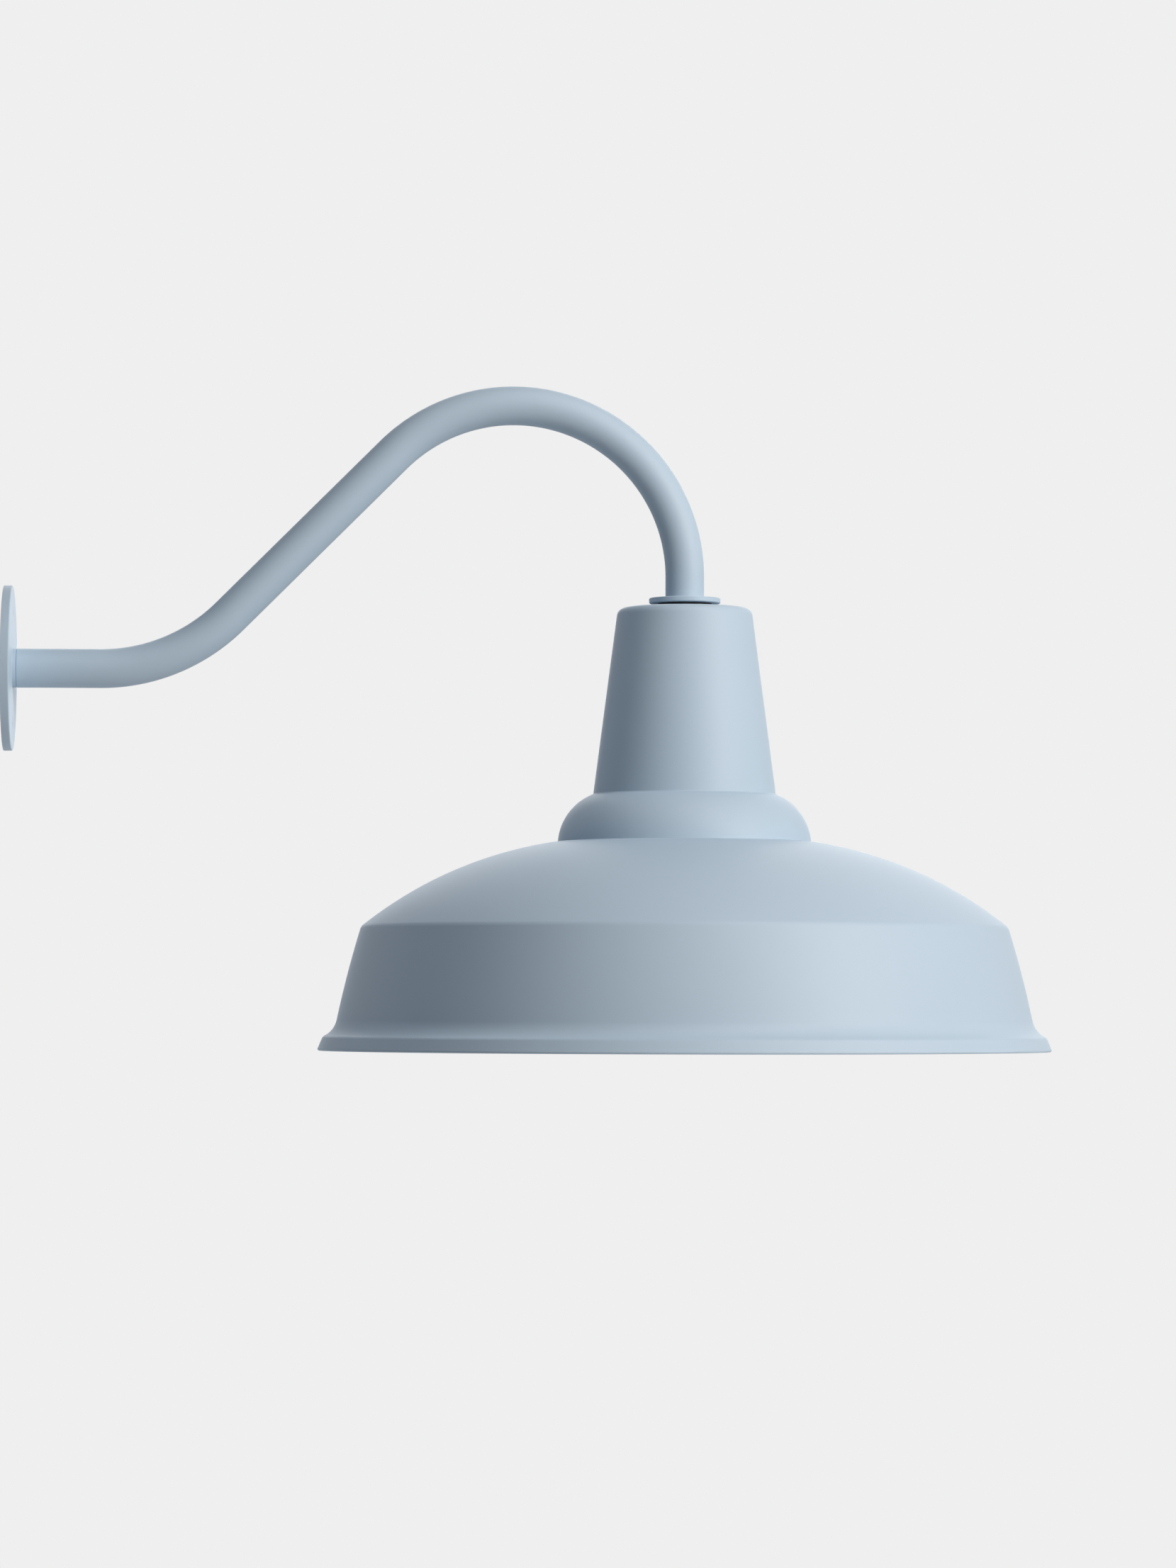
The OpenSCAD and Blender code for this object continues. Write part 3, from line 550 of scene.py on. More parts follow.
def sharp_thread(turns):
    """How far a pipe thread stands up, from 0 to 1, at that many turns along it."""
    rise = 1 - abs(2 * (turns % 1) - 1)
    return min(1, max(0, (rise - THREAD_FLAT) / (1 - 2 * THREAD_FLAT)))


def thread_fade(distance, length, pitch):
    """How much of a thread is cut at a distance along it: it runs out over half a turn at both ends."""
    runout = pitch / 2
    return min(1, max(0, distance / runout), max(0, (length - distance) / runout))


def root_ring(x):
    """A ring of the threaded root at x."""
    def radius(angle):
        fade = thread_fade(x - ROOT_START, HUB_FACE - ROOT_START, PIPE_THREAD_PITCH)
        turns = x / PIPE_THREAD_PITCH + angle / (2 * math.pi)
        return ROOT_RADIUS - PIPE_THREAD_DEPTH * fade * (1 - sharp_thread(turns))
    return ring_round(pipe, arm_stop(x, 0, 0), radius, PIPE_SIDES)


pipe = bmesh.new()
root = [root_ring(ROOT_START + (HUB_FACE - ROOT_START) * i / ROOT_STEPS) for i in range(ROOT_STEPS + 1)]
chamfer = ring_round(pipe, arm_stop(HUB_FACE, 0, 0), PIPE_RADIUS - PIPE_CHAMFER, PIPE_SIDES)
outer = [chamfer]
for stop in arm_path(HUB_FACE + PIPE_CHAMFER, pipe_end):
    outer.append(ring_round(pipe, stop, PIPE_RADIUS, PIPE_SIDES))
bore = [ring_round(pipe, stop, BORE_RADIUS, PIPE_SIDES) for stop in arm_path(ROOT_START, pipe_end)]
pipe_finish = [1] * len(root) + [0] * (len(outer) - 1) + [1] * (len(bore) + 1)
join_rings(pipe, root + outer + bore[::-1], closed=True, finishes=pipe_finish)
bare_steel = metal("bare_pipe_steel", (0.42, 0.42, 0.43), roughness=0.46)
fit_piece("bent_pipe", pipe, [blue_paint, bare_steel], "arm_pipe")


# Pipe nut. A thin hexagon locknut of zinc-plated steel on the pipe's root, in the plate's hollow
# back. It pulls the pipe's shoulder against the plate's hub.

NUT_FLATS = 0.034
THREAD_GAP = 0.00005
PLATE_WEB_BACK = 0.004
PIPE_NUT_HEIGHT = 0.0034
NUT_SIDES = 96
NUT_CHAMFER = math.radians(20)
NUT_SHARP = 20
NUT_SINK = 0.0004
WASHER_FACE_SHARE = 0.48


def nut_section(flats, inner, low, high, corner, sink):
    """The section of a hexagon nut by angle, with its corners turned off and its bore countersunk."""
    def at(angle):
        off_flat = (angle - corner) % (math.pi / 3) - math.pi / 6
        across = flats / 2 / math.cos(off_flat)
        washer_face = flats * WASHER_FACE_SHARE
        drop = (across - washer_face) * math.tan(NUT_CHAMFER)
        return [
            Vector((inner, low + sink)), Vector((inner + sink, low)),
            Vector((washer_face, low)), Vector((across, low + drop)),
            Vector((across, high - drop)), Vector((washer_face, high)),
            Vector((inner + sink, high)), Vector((inner, high - sink)),
        ]
    return at


pipe_nut = bmesh.new()
turn_round(pipe_nut, nut_section(
    NUT_FLATS, ROOT_RADIUS + THREAD_GAP, PLATE_WEB_BACK - PIPE_NUT_HEIGHT, PLATE_WEB_BACK,
    corner=math.pi / 6, sink=NUT_SINK
), outward, NUT_SIDES)
fit_piece("pipe_nut", pipe_nut, [zinc], "root_locknut", sharp_angle=NUT_SHARP)


# Collar. A flat steel ring brazed round the pipe's lower end, with a small fillet of braze on top.
# It is painted with the arm, and the shade hangs just below it.

COLLAR_RADIUS = 0.0249
COLLAR_HEIGHT = 0.0036
COLLAR_LOW_ROUND = 0.0009
COLLAR_TOP_ROUND = 0.0007
BRAZE = 0.0014
COLLAR_SIDES = 144
collar_top = pipe_end + COLLAR_HEIGHT


def upright(radius, angle, height):
    """A point round the shade's centre line."""
    return REACH + radius * math.cos(angle), radius * math.sin(angle), height


collar_bore = Vector((PIPE_RADIUS + THREAD_GAP, pipe_end))
collar_low = Vector((COLLAR_RADIUS, pipe_end))
collar_high = Vector((COLLAR_RADIUS, collar_top))
braze_root = Vector((PIPE_RADIUS + THREAD_GAP, collar_top))
braze_end = Vector((PIPE_RADIUS + THREAD_GAP, collar_top + 2 * BRAZE))
collar = bmesh.new()
turn_round(collar, (
    [collar_bore]
    + rounded(collar_bore, collar_low, collar_high, COLLAR_LOW_ROUND, steps=6)
    + rounded(collar_low, collar_high, braze_root, COLLAR_TOP_ROUND, steps=6)
    + rounded(collar_high, braze_root, braze_end, BRAZE, steps=6)
), upright, COLLAR_SIDES)
fit_piece("brazed_collar", collar, [blue_paint], "arm_collar")


# Gap washer. A rubber ring on the nipple that fills the gap between the collar and the shade.
# It keeps rain out of the neck and stops the shade from turning in the wind.

NECK_GAP = 0.0032
TURNING_GAP = 0.0002
NIPPLE_RADIUS = BORE_RADIUS - THREAD_GAP
RUBBER_RADIUS = 0.019
RUBBER_EDGE = 0.0005
neck_top = pipe_end - NECK_GAP

rubber = coating(
    "black_rubber", (0.028, 0.028, 0.03),
    roughness=0.72, clouds=90, drift=0.25, grains=1600, depth=0.00002
)
gap_washer = bmesh.new()
turn_round(gap_washer, ring_section(
    BORE_RADIUS, RUBBER_RADIUS, neck_top + TURNING_GAP, pipe_end, RUBBER_EDGE
), upright)
fit_piece("gap_washer", gap_washer, [rubber], "rubber_washer")


# Nipple. A short zinc-plated steel pipe, threaded all along and screwed up into the arm's end. The
# shade turns on it, and the leads come down through its bore.

SHEET = 0.0012
NIPPLE_BORE = 0.008
NIPPLE_EDGE = 0.0006
NIPPLE_GRIP = 0.014
NIPPLE_OUT = 0.003
WASHER_HEIGHT = 0.0015
STRAP = 0.002
NIPPLE_NUT_HEIGHT = 0.005
NIPPLE_THREAD_DEPTH = 0.0008
washer_top = neck_top - SHEET - TURNING_GAP
strap_top = washer_top - WASHER_HEIGHT
nipple_nut_top = strap_top - STRAP
nipple_nut_low = nipple_nut_top - NIPPLE_NUT_HEIGHT
nipple_low = nipple_nut_low - NIPPLE_OUT
nipple_top = pipe_end + NIPPLE_GRIP


def thread_line(angle, low, high, pitch, rest, cut, stands, steps=12):
    """Radii up one side of a screw thread between low and high. It starts and ends at the rest radius
    and is cut to the other; stands says how far the thread stands up at a number of turns."""
    count = math.ceil((high - low) / pitch * steps)
    line = []
    for i in range(count + 1):
        height = low + (high - low) * i / count
        fade = thread_fade(height - low, high - low, pitch)
        standing = stands(height / pitch - angle / (2 * math.pi))
        line.append(Vector((rest + (cut - rest) * fade * (1 - standing), height)))
    return line


def nipple_section(angle):
    """The nipple's section at an angle round it."""
    low, high = nipple_low + NIPPLE_EDGE, nipple_top - NIPPLE_EDGE
    root_radius = NIPPLE_RADIUS - NIPPLE_THREAD_DEPTH
    return (
        [Vector((NIPPLE_BORE, nipple_low)), Vector((root_radius, nipple_low))]
        + thread_line(angle, low, high, PIPE_THREAD_PITCH, NIPPLE_RADIUS, root_radius, sharp_thread)
        + [Vector((root_radius, nipple_top)), Vector((NIPPLE_BORE, nipple_top))]
    )


nipple = bmesh.new()
turn_round(nipple, nipple_section, upright, PIPE_SIDES)
fit_piece("running_nipple", nipple, [zinc], "swivel_nipple")


# Slip washer. A plated steel washer on which the top of the neck turns. The nut below carries it
# through the lamp holder's bracket.

WASHER_RADIUS = 0.022
WASHER_EDGE = 0.0002
slip_washer = bmesh.new()
turn_round(slip_washer, ring_section(
    BORE_RADIUS, WASHER_RADIUS, strap_top, washer_top, WASHER_EDGE
), upright)
fit_piece("slip_washer", slip_washer, [zinc], "thrust_washer")


# Holder bracket. A strap of plated steel bent into a U, with a hole for the nipple in its crown and
# a hole for a screw in each leg. The nipple's nut clamps it.

eased("bent_bracket", "holder_bracket", zinc, edge=0.0004)


# Nipple nut. A hexagon locknut of zinc-plated steel on the nipple's thread. It clamps the bracket
# and the slip washer, and so holds the shade.

nipple_nut = bmesh.new()
turn_round(nipple_nut, nut_section(
    NUT_FLATS, BORE_RADIUS, nipple_nut_low, nipple_nut_top, corner=0, sink=NUT_SINK
), upright, NUT_SIDES)
fit_piece("nipple_nut", nipple_nut, [zinc], "nipple_locknut", sharp_angle=NUT_SHARP)


# End bushing. A snap-in plastic sleeve with a lip that covers the nipple's cut edge, so that it
# can't chafe the leads.

BUSHING_LIP = 0.0012
BUSHING_GRIP = 0.005
BUSHING_WALL = 0.0014
BUSHING_ROUND = 0.0005
bushing_bore = NIPPLE_BORE - BUSHING_WALL
bushing_sleeve = NIPPLE_BORE - THREAD_GAP
bushing_rim = NIPPLE_RADIUS - NIPPLE_EDGE
bushing_low = nipple_low - BUSHING_LIP
bushing_top = nipple_low + BUSHING_GRIP
bushing_corners = [
    Vector((bushing_bore, bushing_low)), Vector((bushing_rim, bushing_low)),
    Vector((bushing_rim, nipple_low)), Vector((bushing_sleeve, nipple_low)),
]
black_plastic = coating(
    "black_moulded_plastic", (0.04, 0.04, 0.042),
    roughness=0.42, clouds=90, drift=0.12, grains=2200, depth=0.000008
)
bushing = bmesh.new()
turn_round(bushing, (
    rounded(bushing_corners[3], bushing_corners[0], bushing_corners[1], BUSHING_ROUND, steps=4)
    + rounded(bushing_corners[0], bushing_corners[1], bushing_corners[2], BUSHING_ROUND, steps=4)
    + bushing_corners[2:]
    + [Vector((bushing_sleeve, bushing_top)), Vector((bushing_bore, bushing_top))]
), upright)
fit_piece("end_bushing", bushing, [black_plastic], "nipple_bushing")


# Porcelain body. Pressed and glazed porcelain with a lug on each side for a bracket screw, and a
# thick rim round its mouth.

glaze = coating(
    "porcelain_glaze", (0.87, 0.86, 0.81),
    roughness=0.16, clouds=35, drift=0.03, grains=160, depth=0.00004
)
eased("porcelain_body", "lamp_holder", glaze, edge=0.0006)


# Bracket screws. Two zinc-plated pan-head screws with cross recesses, which go through the
# bracket's legs into the porcelain's lugs and carry the lamp holder.

eased("bracket_screw_pair", "bracket_screws", zinc, edge=0.0002)


# Screw shell. A sleeve of sheet brass rolled with the lamp's coarse round thread, folded in at its
# top, where it is riveted to the porcelain. The bulb's cap screws into it.

HOLDER_DROP = 0.0584
HOLDER_HEIGHT = 0.05
CAVITY_DEPTH = 0.032
CAP_RADIUS = 0.01305
CAP_GAP = 0.00025
SHELL_SHEET = 0.0005
SHELL_FOLD = 0.003
SHELL_SHORT = 0.002
SHELL_THREAD_SHORT = 0.001
LAMP_PITCH = 0.00363
LAMP_THREAD_DEPTH = 0.00075
holder_top = neck_top - HOLDER_DROP
holder_low = holder_top - HOLDER_HEIGHT
cavity_top = holder_low + CAVITY_DEPTH
shell_low = holder_low + SHELL_SHORT
shell_radius = CAP_RADIUS + CAP_GAP


def round_thread(turns):
    """How far the lamp's round thread stands up, from 0 to 1, at that many turns along it."""
    return 0.5 - 0.5 * math.cos(2 * math.pi * turns)


def shell_section(angle):
    """The rolled sleeve's section at an angle: its inside goes up, and its outside comes down."""
    fold_low = cavity_top - SHELL_SHEET
    inside = thread_line(
        angle, shell_low, fold_low - SHELL_THREAD_SHORT, LAMP_PITCH,
        shell_radius, shell_radius - LAMP_THREAD_DEPTH, round_thread
    )
    outside = [Vector((point.x + SHELL_SHEET, point.y)) for point in reversed(inside)]
    fold = shell_radius - SHELL_FOLD
    return (
        inside
        + [Vector((shell_radius, fold_low)), Vector((fold, fold_low)), Vector((fold, cavity_top))]
        + [Vector((shell_radius + SHELL_SHEET, cavity_top))]
        + outside
    )


brass = metal("stamped_brass", (0.76, 0.56, 0.27), roughness=0.32)
shell = bmesh.new()
turn_round(shell, shell_section, upright)
fit_piece("rolled_shell", shell, [brass], "screw_shell")


# Centre contact. A brass button on a post, riveted into the closed end of the porcelain's cavity.
# The bulb's tip meets it.

eased("contact_button", "centre_contact", brass, edge=0.00015)


# Terminals. Two brass sockets on the porcelain's top, each with a square foot. The leads' ends go
# into them.

eased("terminal_pair", "lead_terminals", brass, edge=0.0002)


# Leads. Two insulated copper wires, black for the line and white for the neutral, which run from
# behind the wall through the arm to the terminals. Their ends at the wall are stripped.

LEAD_RADIUS = 0.0014
LEAD_APART = 0.0034
LEAD_OUT = 0.01
STRIPPED = 0.006
LEAD_BEND = 0.012
LEAD_BEND_DROP = 0.005
TERMINALS_APART = 0.022
LEAD_SIDES = 24
LEAD_STEPS = 12
LEAD_END_LIFT = 0.0025
STRAND_RADIUS = 0.0003
STRAND_CIRCLE = 0.0006
STRAND_LAY = 0.012
STRAND_STEPS = 16
CORE_SIDES = 48
CORE_IN = 0.0002
lead_bend_top = nipple_low - LEAD_BEND_DROP
lead_bend_angle = math.acos(1 - (TERMINALS_APART - LEAD_APART) / (4 * LEAD_BEND))
lead_bend_low = lead_bend_top - 2 * LEAD_BEND * math.sin(lead_bend_angle)
lead_end = holder_top + LEAD_END_LIFT


def lead_path(hand):
    """The stops of a lead on one side, from its insulation's start behind the wall to its terminal."""
    aside = Vector((0, hand * LEAD_APART / 2, 0))
    in_arm = arm_path(STRIPPED - LEAD_OUT, lead_bend_top)
    path = [(place + aside, direction, up) for place, direction, up in in_arm]
    across = Vector((1, 0, 0))
    for i in range(1, 2 * LEAD_STEPS + 1):
        angle = lead_bend_angle * min(i, 2 * LEAD_STEPS - i) / LEAD_STEPS
        sideways = LEAD_APART / 2 + LEAD_BEND * (1 - math.cos(angle))
        height = lead_bend_top - LEAD_BEND * math.sin(angle)
        if i > LEAD_STEPS:
            sideways = (TERMINALS_APART + LEAD_APART) / 2 - sideways
            height = lead_bend_top + lead_bend_low - height
        direction = Vector((0, hand * math.sin(angle), -math.cos(angle)))
        path.append((Vector((REACH, hand * sideways, height)), direction, across))
    path.append((Vector((REACH, hand * TERMINALS_APART / 2, lead_end)), Vector((0, 0, -1)), across))
    return path


def bar(shape, stops, radii, sides, finish=0):
    """A solid bar through stops, with a radius for each of them."""
    rings = [ring_round(shape, stop, radius, sides) for stop, radius in zip(stops, radii)]
    join_rings(shape, rings, finishes=[finish] * len(rings))
    for end in (rings[0], rings[-1]):
        shape.faces.new(end).material_index = finish


def strands(twist):
    """The radius of a bundle of six strands round a seventh, turned by twist."""
    def radius(angle):
        off_strand = (angle - twist) % (math.pi / 3) - math.pi / 6
        aside = STRAND_CIRCLE * math.sin(off_strand)
        return STRAND_CIRCLE * math.cos(off_strand) + math.sqrt(max(0, STRAND_RADIUS ** 2 - aside ** 2))
    return radius


copper = metal("stranded_copper", (0.8, 0.44, 0.3), roughness=0.3)
for name, node, hand, colour, slot in (
    ("black_lead", "line_lead", 1, (0.03, 0.03, 0.032), "black_insulation"),
    ("white_lead", "neutral_lead", -1, (0.8, 0.8, 0.77), "white_insulation"),
):
    insulation = coating(
        name + "_insulation", colour,
        roughness=0.38, clouds=60, drift=0.05, grains=1500, depth=0.00001
    )
    lead = bmesh.new()
    stops = lead_path(hand)
    bar(lead, stops, [LEAD_RADIUS] * len(stops), LEAD_SIDES)
    core = []
    for i in range(STRAND_STEPS + 1):
        place, direction, up = stops[0]
        core.append((place + direction * (STRIPPED * (i / STRAND_STEPS - 1) + CORE_IN), direction, up))
    twists = [2 * math.pi * STRIPPED * i / STRAND_STEPS / STRAND_LAY for i in range(STRAND_STEPS + 1)]
    bar(lead, core, [strands(twist) for twist in twists], CORE_SIDES, finish=1)
    fit_piece(name, lead, [insulation, copper], node)


# Neck. A spun steel cone with a round shoulder at its top and a flange turned in at its foot, where
# a bead of filler eases it into the shade. It turns with the shade. Paint outside, enamel inside.

NECK_HEIGHT = 0.1305
NECK_TOP_RADIUS = 0.0466
NECK_FOOT_RADIUS = 0.0636
NECK_CORNER = 0.006
NECK_RUN = 0.00008
FOOT_BEAD = 0.0015
BEAD_WIDTH = 0.0014
BEAD_EDGE = 0.0001
FLANGE_WIDTH = 0.0144
FOLD_INSIDE = 0.0003
SPUN_SIDES = 288
foot_z = neck_top - NECK_HEIGHT
land_inner = NECK_FOOT_RADIUS - FLANGE_WIDTH
bead_tip = Vector((NECK_FOOT_RADIUS + BEAD_WIDTH, foot_z))


def moved_right(points, distance):
    """The same outline moved to its right."""
    moved = []
    for i, point in enumerate(points):
        before = (points[max(i, 1)] - points[max(i, 1) - 1]).normalized()
        last = len(points) - 2
        after = (points[min(i, last) + 1] - points[min(i, last)]).normalized()
        across = Vector((before.y + after.y, -before.x - after.x))
        moved.append(point + across * distance / (1 + before.dot(after)))
    return moved


enamel = coating(
    "white_enamel", (0.86, 0.86, 0.84),
    roughness=0.26, clouds=5, drift=0.015, grains=300, depth=0.000015
)

neck_hole = Vector((NIPPLE_RADIUS + NECK_RUN, neck_top))
neck_corner = Vector((NECK_TOP_RADIUS, neck_top))
neck_foot = Vector((NECK_FOOT_RADIUS, foot_z))
flange_edge = Vector((land_inner, foot_z))
neck_side = [neck_hole] + rounded(neck_hole, neck_corner, neck_foot, NECK_CORNER, steps=12)
neck_fold = rounded(neck_corner, neck_foot, flange_edge, SHEET + FOLD_INSIDE, steps=6) + [flange_edge]
bead_root = neck_foot + Vector((0, BEAD_EDGE))
bead_face = rounded(neck_corner, bead_root, bead_tip + Vector((0, BEAD_EDGE)), FOOT_BEAD, steps=6)
neck_outline = neck_side + bead_face + [bead_tip, flange_edge]
neck_inside = moved_right(neck_side + neck_fold, SHEET)[::-1]
neck_finish = [0] * (len(neck_outline) - 1) + [1] * (len(neck_inside) + 1)
neck = bmesh.new()
turn_round(neck, neck_outline + neck_inside, upright, SPUN_SIDES, neck_finish)
fit_piece("neck_spinning", neck, [blue_paint, enamel], "neck")


# Shade. A disc of steel sheet spun over a former into land, round step, dome, skirt and lip,
# with its edge folded up inside the lip. Blue paint outside, white reflecting enamel inside.

BULGE_HEIGHT = 0.0324
BULGE_FOOT_RADIUS = 0.0881
BULGE_CURVE = 0.0382
DOME_HEIGHT = 0.0594
SHOULDER_RADIUS = 0.2246
DOME_CURVE = 0.2786
SHOULDER_ROUND = 0.0065
SKIRT_HEIGHT = 0.0651
SKIRT_FOOT_RADIUS = 0.2413
SKIRT_CURVE = 0.73
FLARE_HEIGHT = 0.0113
FLARE_CURVE = 0.016
LEDGE_RADIUS = 0.2509
LEDGE_SLOPE = math.radians(30)
LEDGE_WIDTH = 0.002
LEDGE_ROUND = 0.0035
LIP_HEIGHT = 0.0092
RIM_RADIUS = 0.25428
HEM_HEIGHT = 0.0064

crease_z = foot_z - BULGE_HEIGHT
shoulder_z = crease_z - DOME_HEIGHT
flare_z = shoulder_z - SKIRT_HEIGHT
ledge_z = flare_z - FLARE_HEIGHT
rim_z = ledge_z - LIP_HEIGHT
bulge_foot = Vector((BULGE_FOOT_RADIUS, crease_z))
shoulder = Vector((SHOULDER_RADIUS, shoulder_z))
skirt_foot = Vector((SKIRT_FOOT_RADIUS, flare_z))
ledge_edge = Vector((LEDGE_RADIUS, ledge_z))
flare_foot = ledge_edge + LEDGE_WIDTH * Vector((-math.cos(LEDGE_SLOPE), math.sin(LEDGE_SLOPE)))
rim = Vector((RIM_RADIUS, rim_z + SHEET))

dome_line = arc(bulge_foot, shoulder, -DOME_CURVE, steps=40)
skirt_line = arc(shoulder, skirt_foot, -SKIRT_CURVE, steps=12)
shade_outline = (
    [Vector((land_inner, foot_z))]
    + arc(bead_tip, bulge_foot, -BULGE_CURVE, steps=28)
    + dome_line[1:-1]
    + rounded(dome_line[-2], shoulder, skirt_line[1], SHOULDER_ROUND, steps=8)
    + skirt_line[1:]
    + arc(skirt_foot, flare_foot, FLARE_CURVE, steps=10)[1:]
    + rounded(flare_foot, ledge_edge, rim, LEDGE_ROUND, steps=8)
    + [rim]
)
down = (rim - ledge_edge).normalized()
inwards = Vector((down.y, -down.x))
hem_face = rim + inwards * 2 * SHEET
hem = arc(rim, hem_face, -SHEET, steps=12)[1:]
hem_top = hem_face - down * HEM_HEIGHT
shade_inside = moved_right(shade_outline, SHEET)[::-1]
shade_loop = shade_outline + hem + [hem_top, hem_top - inwards * SHEET] + shade_inside[1:]
blue_faces = len(shade_outline) - 1 + len(hem) // 2
shade_finish = [0] * blue_faces + [1] * (len(shade_loop) - blue_faces)
shade = bmesh.new()
turn_round(shade, shade_loop, upright, SPUN_SIDES, shade_finish)
fit_piece("shade_spinning", shade, [blue_paint, enamel], "shade")


# Shade screws and nuts. Three plated pan-head screws come up through the shade's land and the
# neck's flange from inside, and a hexagon nut on each of them pulls the two together.

SMALL_NUT_FLATS = 0.007
SMALL_NUT_HEIGHT = 0.003
SMALL_NUT_SINK = 0.0003
SMALL_NUT_SIDES = 48
SHADE_SCREW_RADIUS = 0.002
SHADE_SCREW_COUNT = 3
SHADE_SCREW_IN = 0.0059
shade_screw_circle = land_inner + SHADE_SCREW_IN

eased("shade_screw_trio", "shade_screws", zinc, edge=0.0002)
nuts = bmesh.new()
for i in range(SHADE_SCREW_COUNT):
    bearing = math.pi / 2 + 2 * math.pi * i / SHADE_SCREW_COUNT
    screw_x = REACH + shade_screw_circle * math.cos(bearing)
    screw_y = shade_screw_circle * math.sin(bearing)
    turn_round(
        nuts,
        nut_section(
            SMALL_NUT_FLATS, SHADE_SCREW_RADIUS + THREAD_GAP, foot_z + SHEET,
            foot_z + SHEET + SMALL_NUT_HEIGHT, corner=bearing, sink=SMALL_NUT_SINK
        ),
        lambda radius, angle, height, x=screw_x, y=screw_y: (
            x + radius * math.cos(angle), y + radius * math.sin(angle), height
        ),
        SMALL_NUT_SIDES,
    )
fit_piece("shade_nut_trio", nuts, [zinc], "shade_nuts", sharp_angle=NUT_SHARP)


# Bulb cap. A drawn and nickel-plated shell with the lamp's round thread rolled into it. It is
# cemented to the glass and screws into the holder.

CONTACT_DROP = 0.0073
CONTACT_GAP = 0.0003
CAP_HEIGHT = 0.0265
INSULATOR_RADIUS = 0.0085
INSULATOR_HEIGHT = 0.004
INSULATOR_EDGE = 0.001
CAP_LEAD_IN = 0.003
CAP_TURNS = 4
CAP_SHEET = 0.0004
CAP_ROUND = 0.006
tip_z = cavity_top - CONTACT_DROP - CONTACT_GAP
cap_rim = tip_z - CAP_HEIGHT
cap_shoulder = tip_z - INSULATOR_HEIGHT
cap_thread_top = cap_shoulder - CAP_LEAD_IN
cap_thread_low = cap_thread_top - CAP_TURNS * LAMP_PITCH
cap_root = CAP_RADIUS - LAMP_THREAD_DEPTH


def cap_section(angle):
    """The cap's section at an angle, up its outside and down its inside."""
    hole = Vector((INSULATOR_RADIUS + THREAD_GAP, cap_shoulder))
    thread = thread_line(
        angle, cap_thread_low, cap_thread_top, LAMP_PITCH,
        cap_root, CAP_RADIUS, lambda turns: 1 - round_thread(turns)
    )
    return (
        [Vector((CAP_RADIUS, cap_rim)), Vector((CAP_RADIUS, cap_thread_low - LAMP_THREAD_DEPTH))]
        + thread
        + arc(Vector((cap_root, cap_thread_top)), hole, CAP_ROUND, steps=6)[1:]
        + [
            Vector((hole.x, hole.y - CAP_SHEET)),
            Vector((cap_root - CAP_SHEET, cap_thread_top - CAP_SHEET)),
            Vector((cap_root - CAP_SHEET, cap_rim)),
        ]
    )


nickel = metal("nickel_plate", (0.72, 0.7, 0.66), roughness=0.24, marks=900, drawn=(1, 1, 8))
cap = bmesh.new()
turn_round(cap, cap_section, upright)
fit_piece("bulb_cap_shell", cap, [nickel], "bulb_cap")


# Cap insulator and tip. Black glass is fused into the end of the cap, and a solder button on it
# is the bulb's second contact.

TIP_RADIUS = 0.0042
TIP_HEIGHT = 0.0015
TIP_CURVE = 0.0066
TIP_SIDES = 48
INSULATOR_CURVE = 0.02
tip_edge = Vector((TIP_RADIUS, tip_z - TIP_HEIGHT))
insulator_top = Vector((INSULATOR_RADIUS, cap_shoulder))
insulator_low = cap_shoulder - INSULATOR_EDGE
black_glass = coating(
    "black_cap_glass", (0.02, 0.02, 0.032),
    roughness=0.1, clouds=150, drift=0.3, grains=400, depth=0.00003
)
insulator = bmesh.new()
turn_round(insulator, (
    [Vector((0, insulator_low)), Vector((INSULATOR_RADIUS, insulator_low))]
    + arc(insulator_top, tip_edge, -INSULATOR_CURVE, steps=6)
    + [Vector((0, tip_edge.y))]
), upright)
fit_piece("cap_insulator", insulator, [black_glass], "bulb_insulator")

solder = metal("solder", (0.7, 0.7, 0.69), roughness=0.34, marks=700)
relief(solder, pattern(solder, 350), depth=0.00015)
tip_section = arc(tip_edge, Vector((0, tip_z)), TIP_CURVE, steps=8) + [Vector((0, tip_edge.y))]
tip = bmesh.new()
turn_round(tip, tip_section, upright, TIP_SIDES)
fit_piece("solder_tip", tip, [solder], "bulb_tip")


# Stem. A glass tube with a flare at its top, where it is fused to the bulb's neck, and closed
# at its end, where the wires come out. It holds the light strips.

STEM_RADIUS = 0.0032
STEM_HEIGHT = 0.042
STEM_IN = 0.004
STEM_FLANGE_RADIUS = 0.01145
STEM_FLANGE = 0.002
STEM_SWEEP_HEIGHT = 0.0135
STEM_SWEEP = 0.014
STEM_SIDES = 64
stem_top = cap_rim + STEM_IN
stem_low = stem_top - STEM_HEIGHT
flange_low = Vector((STEM_FLANGE_RADIUS, stem_top - STEM_FLANGE))


def clear_glass(name, colour, waves):
    """Clear glass, faintly rippled by its blowing or drawing."""
    made = coating(
        name, colour, roughness=0.012, clouds=20, drift=0.01, grains=waves, depth=0.00002
    )
    skin = made.node_tree.nodes["Principled BSDF"]
    skin.inputs["Transmission Weight"].default_value = 1
    skin.inputs["IOR"].default_value = 1.5
    return made


stem_glass = clear_glass("drawn_stem_glass", (0.95, 0.975, 0.97), waves=150)
stem = bmesh.new()
turn_round(stem, (
    [Vector((0, stem_top)), Vector((STEM_FLANGE_RADIUS, stem_top))]
    + arc(flange_low, Vector((STEM_RADIUS, flange_low.y - STEM_SWEEP_HEIGHT)), STEM_SWEEP, steps=14)
    + arc(Vector((STEM_RADIUS, stem_low + STEM_RADIUS)), Vector((0, stem_low)), -STEM_RADIUS, steps=8)
), upright, STEM_SIDES)
fit_piece("flared_stem", stem, [stem_glass], "bulb_stem")


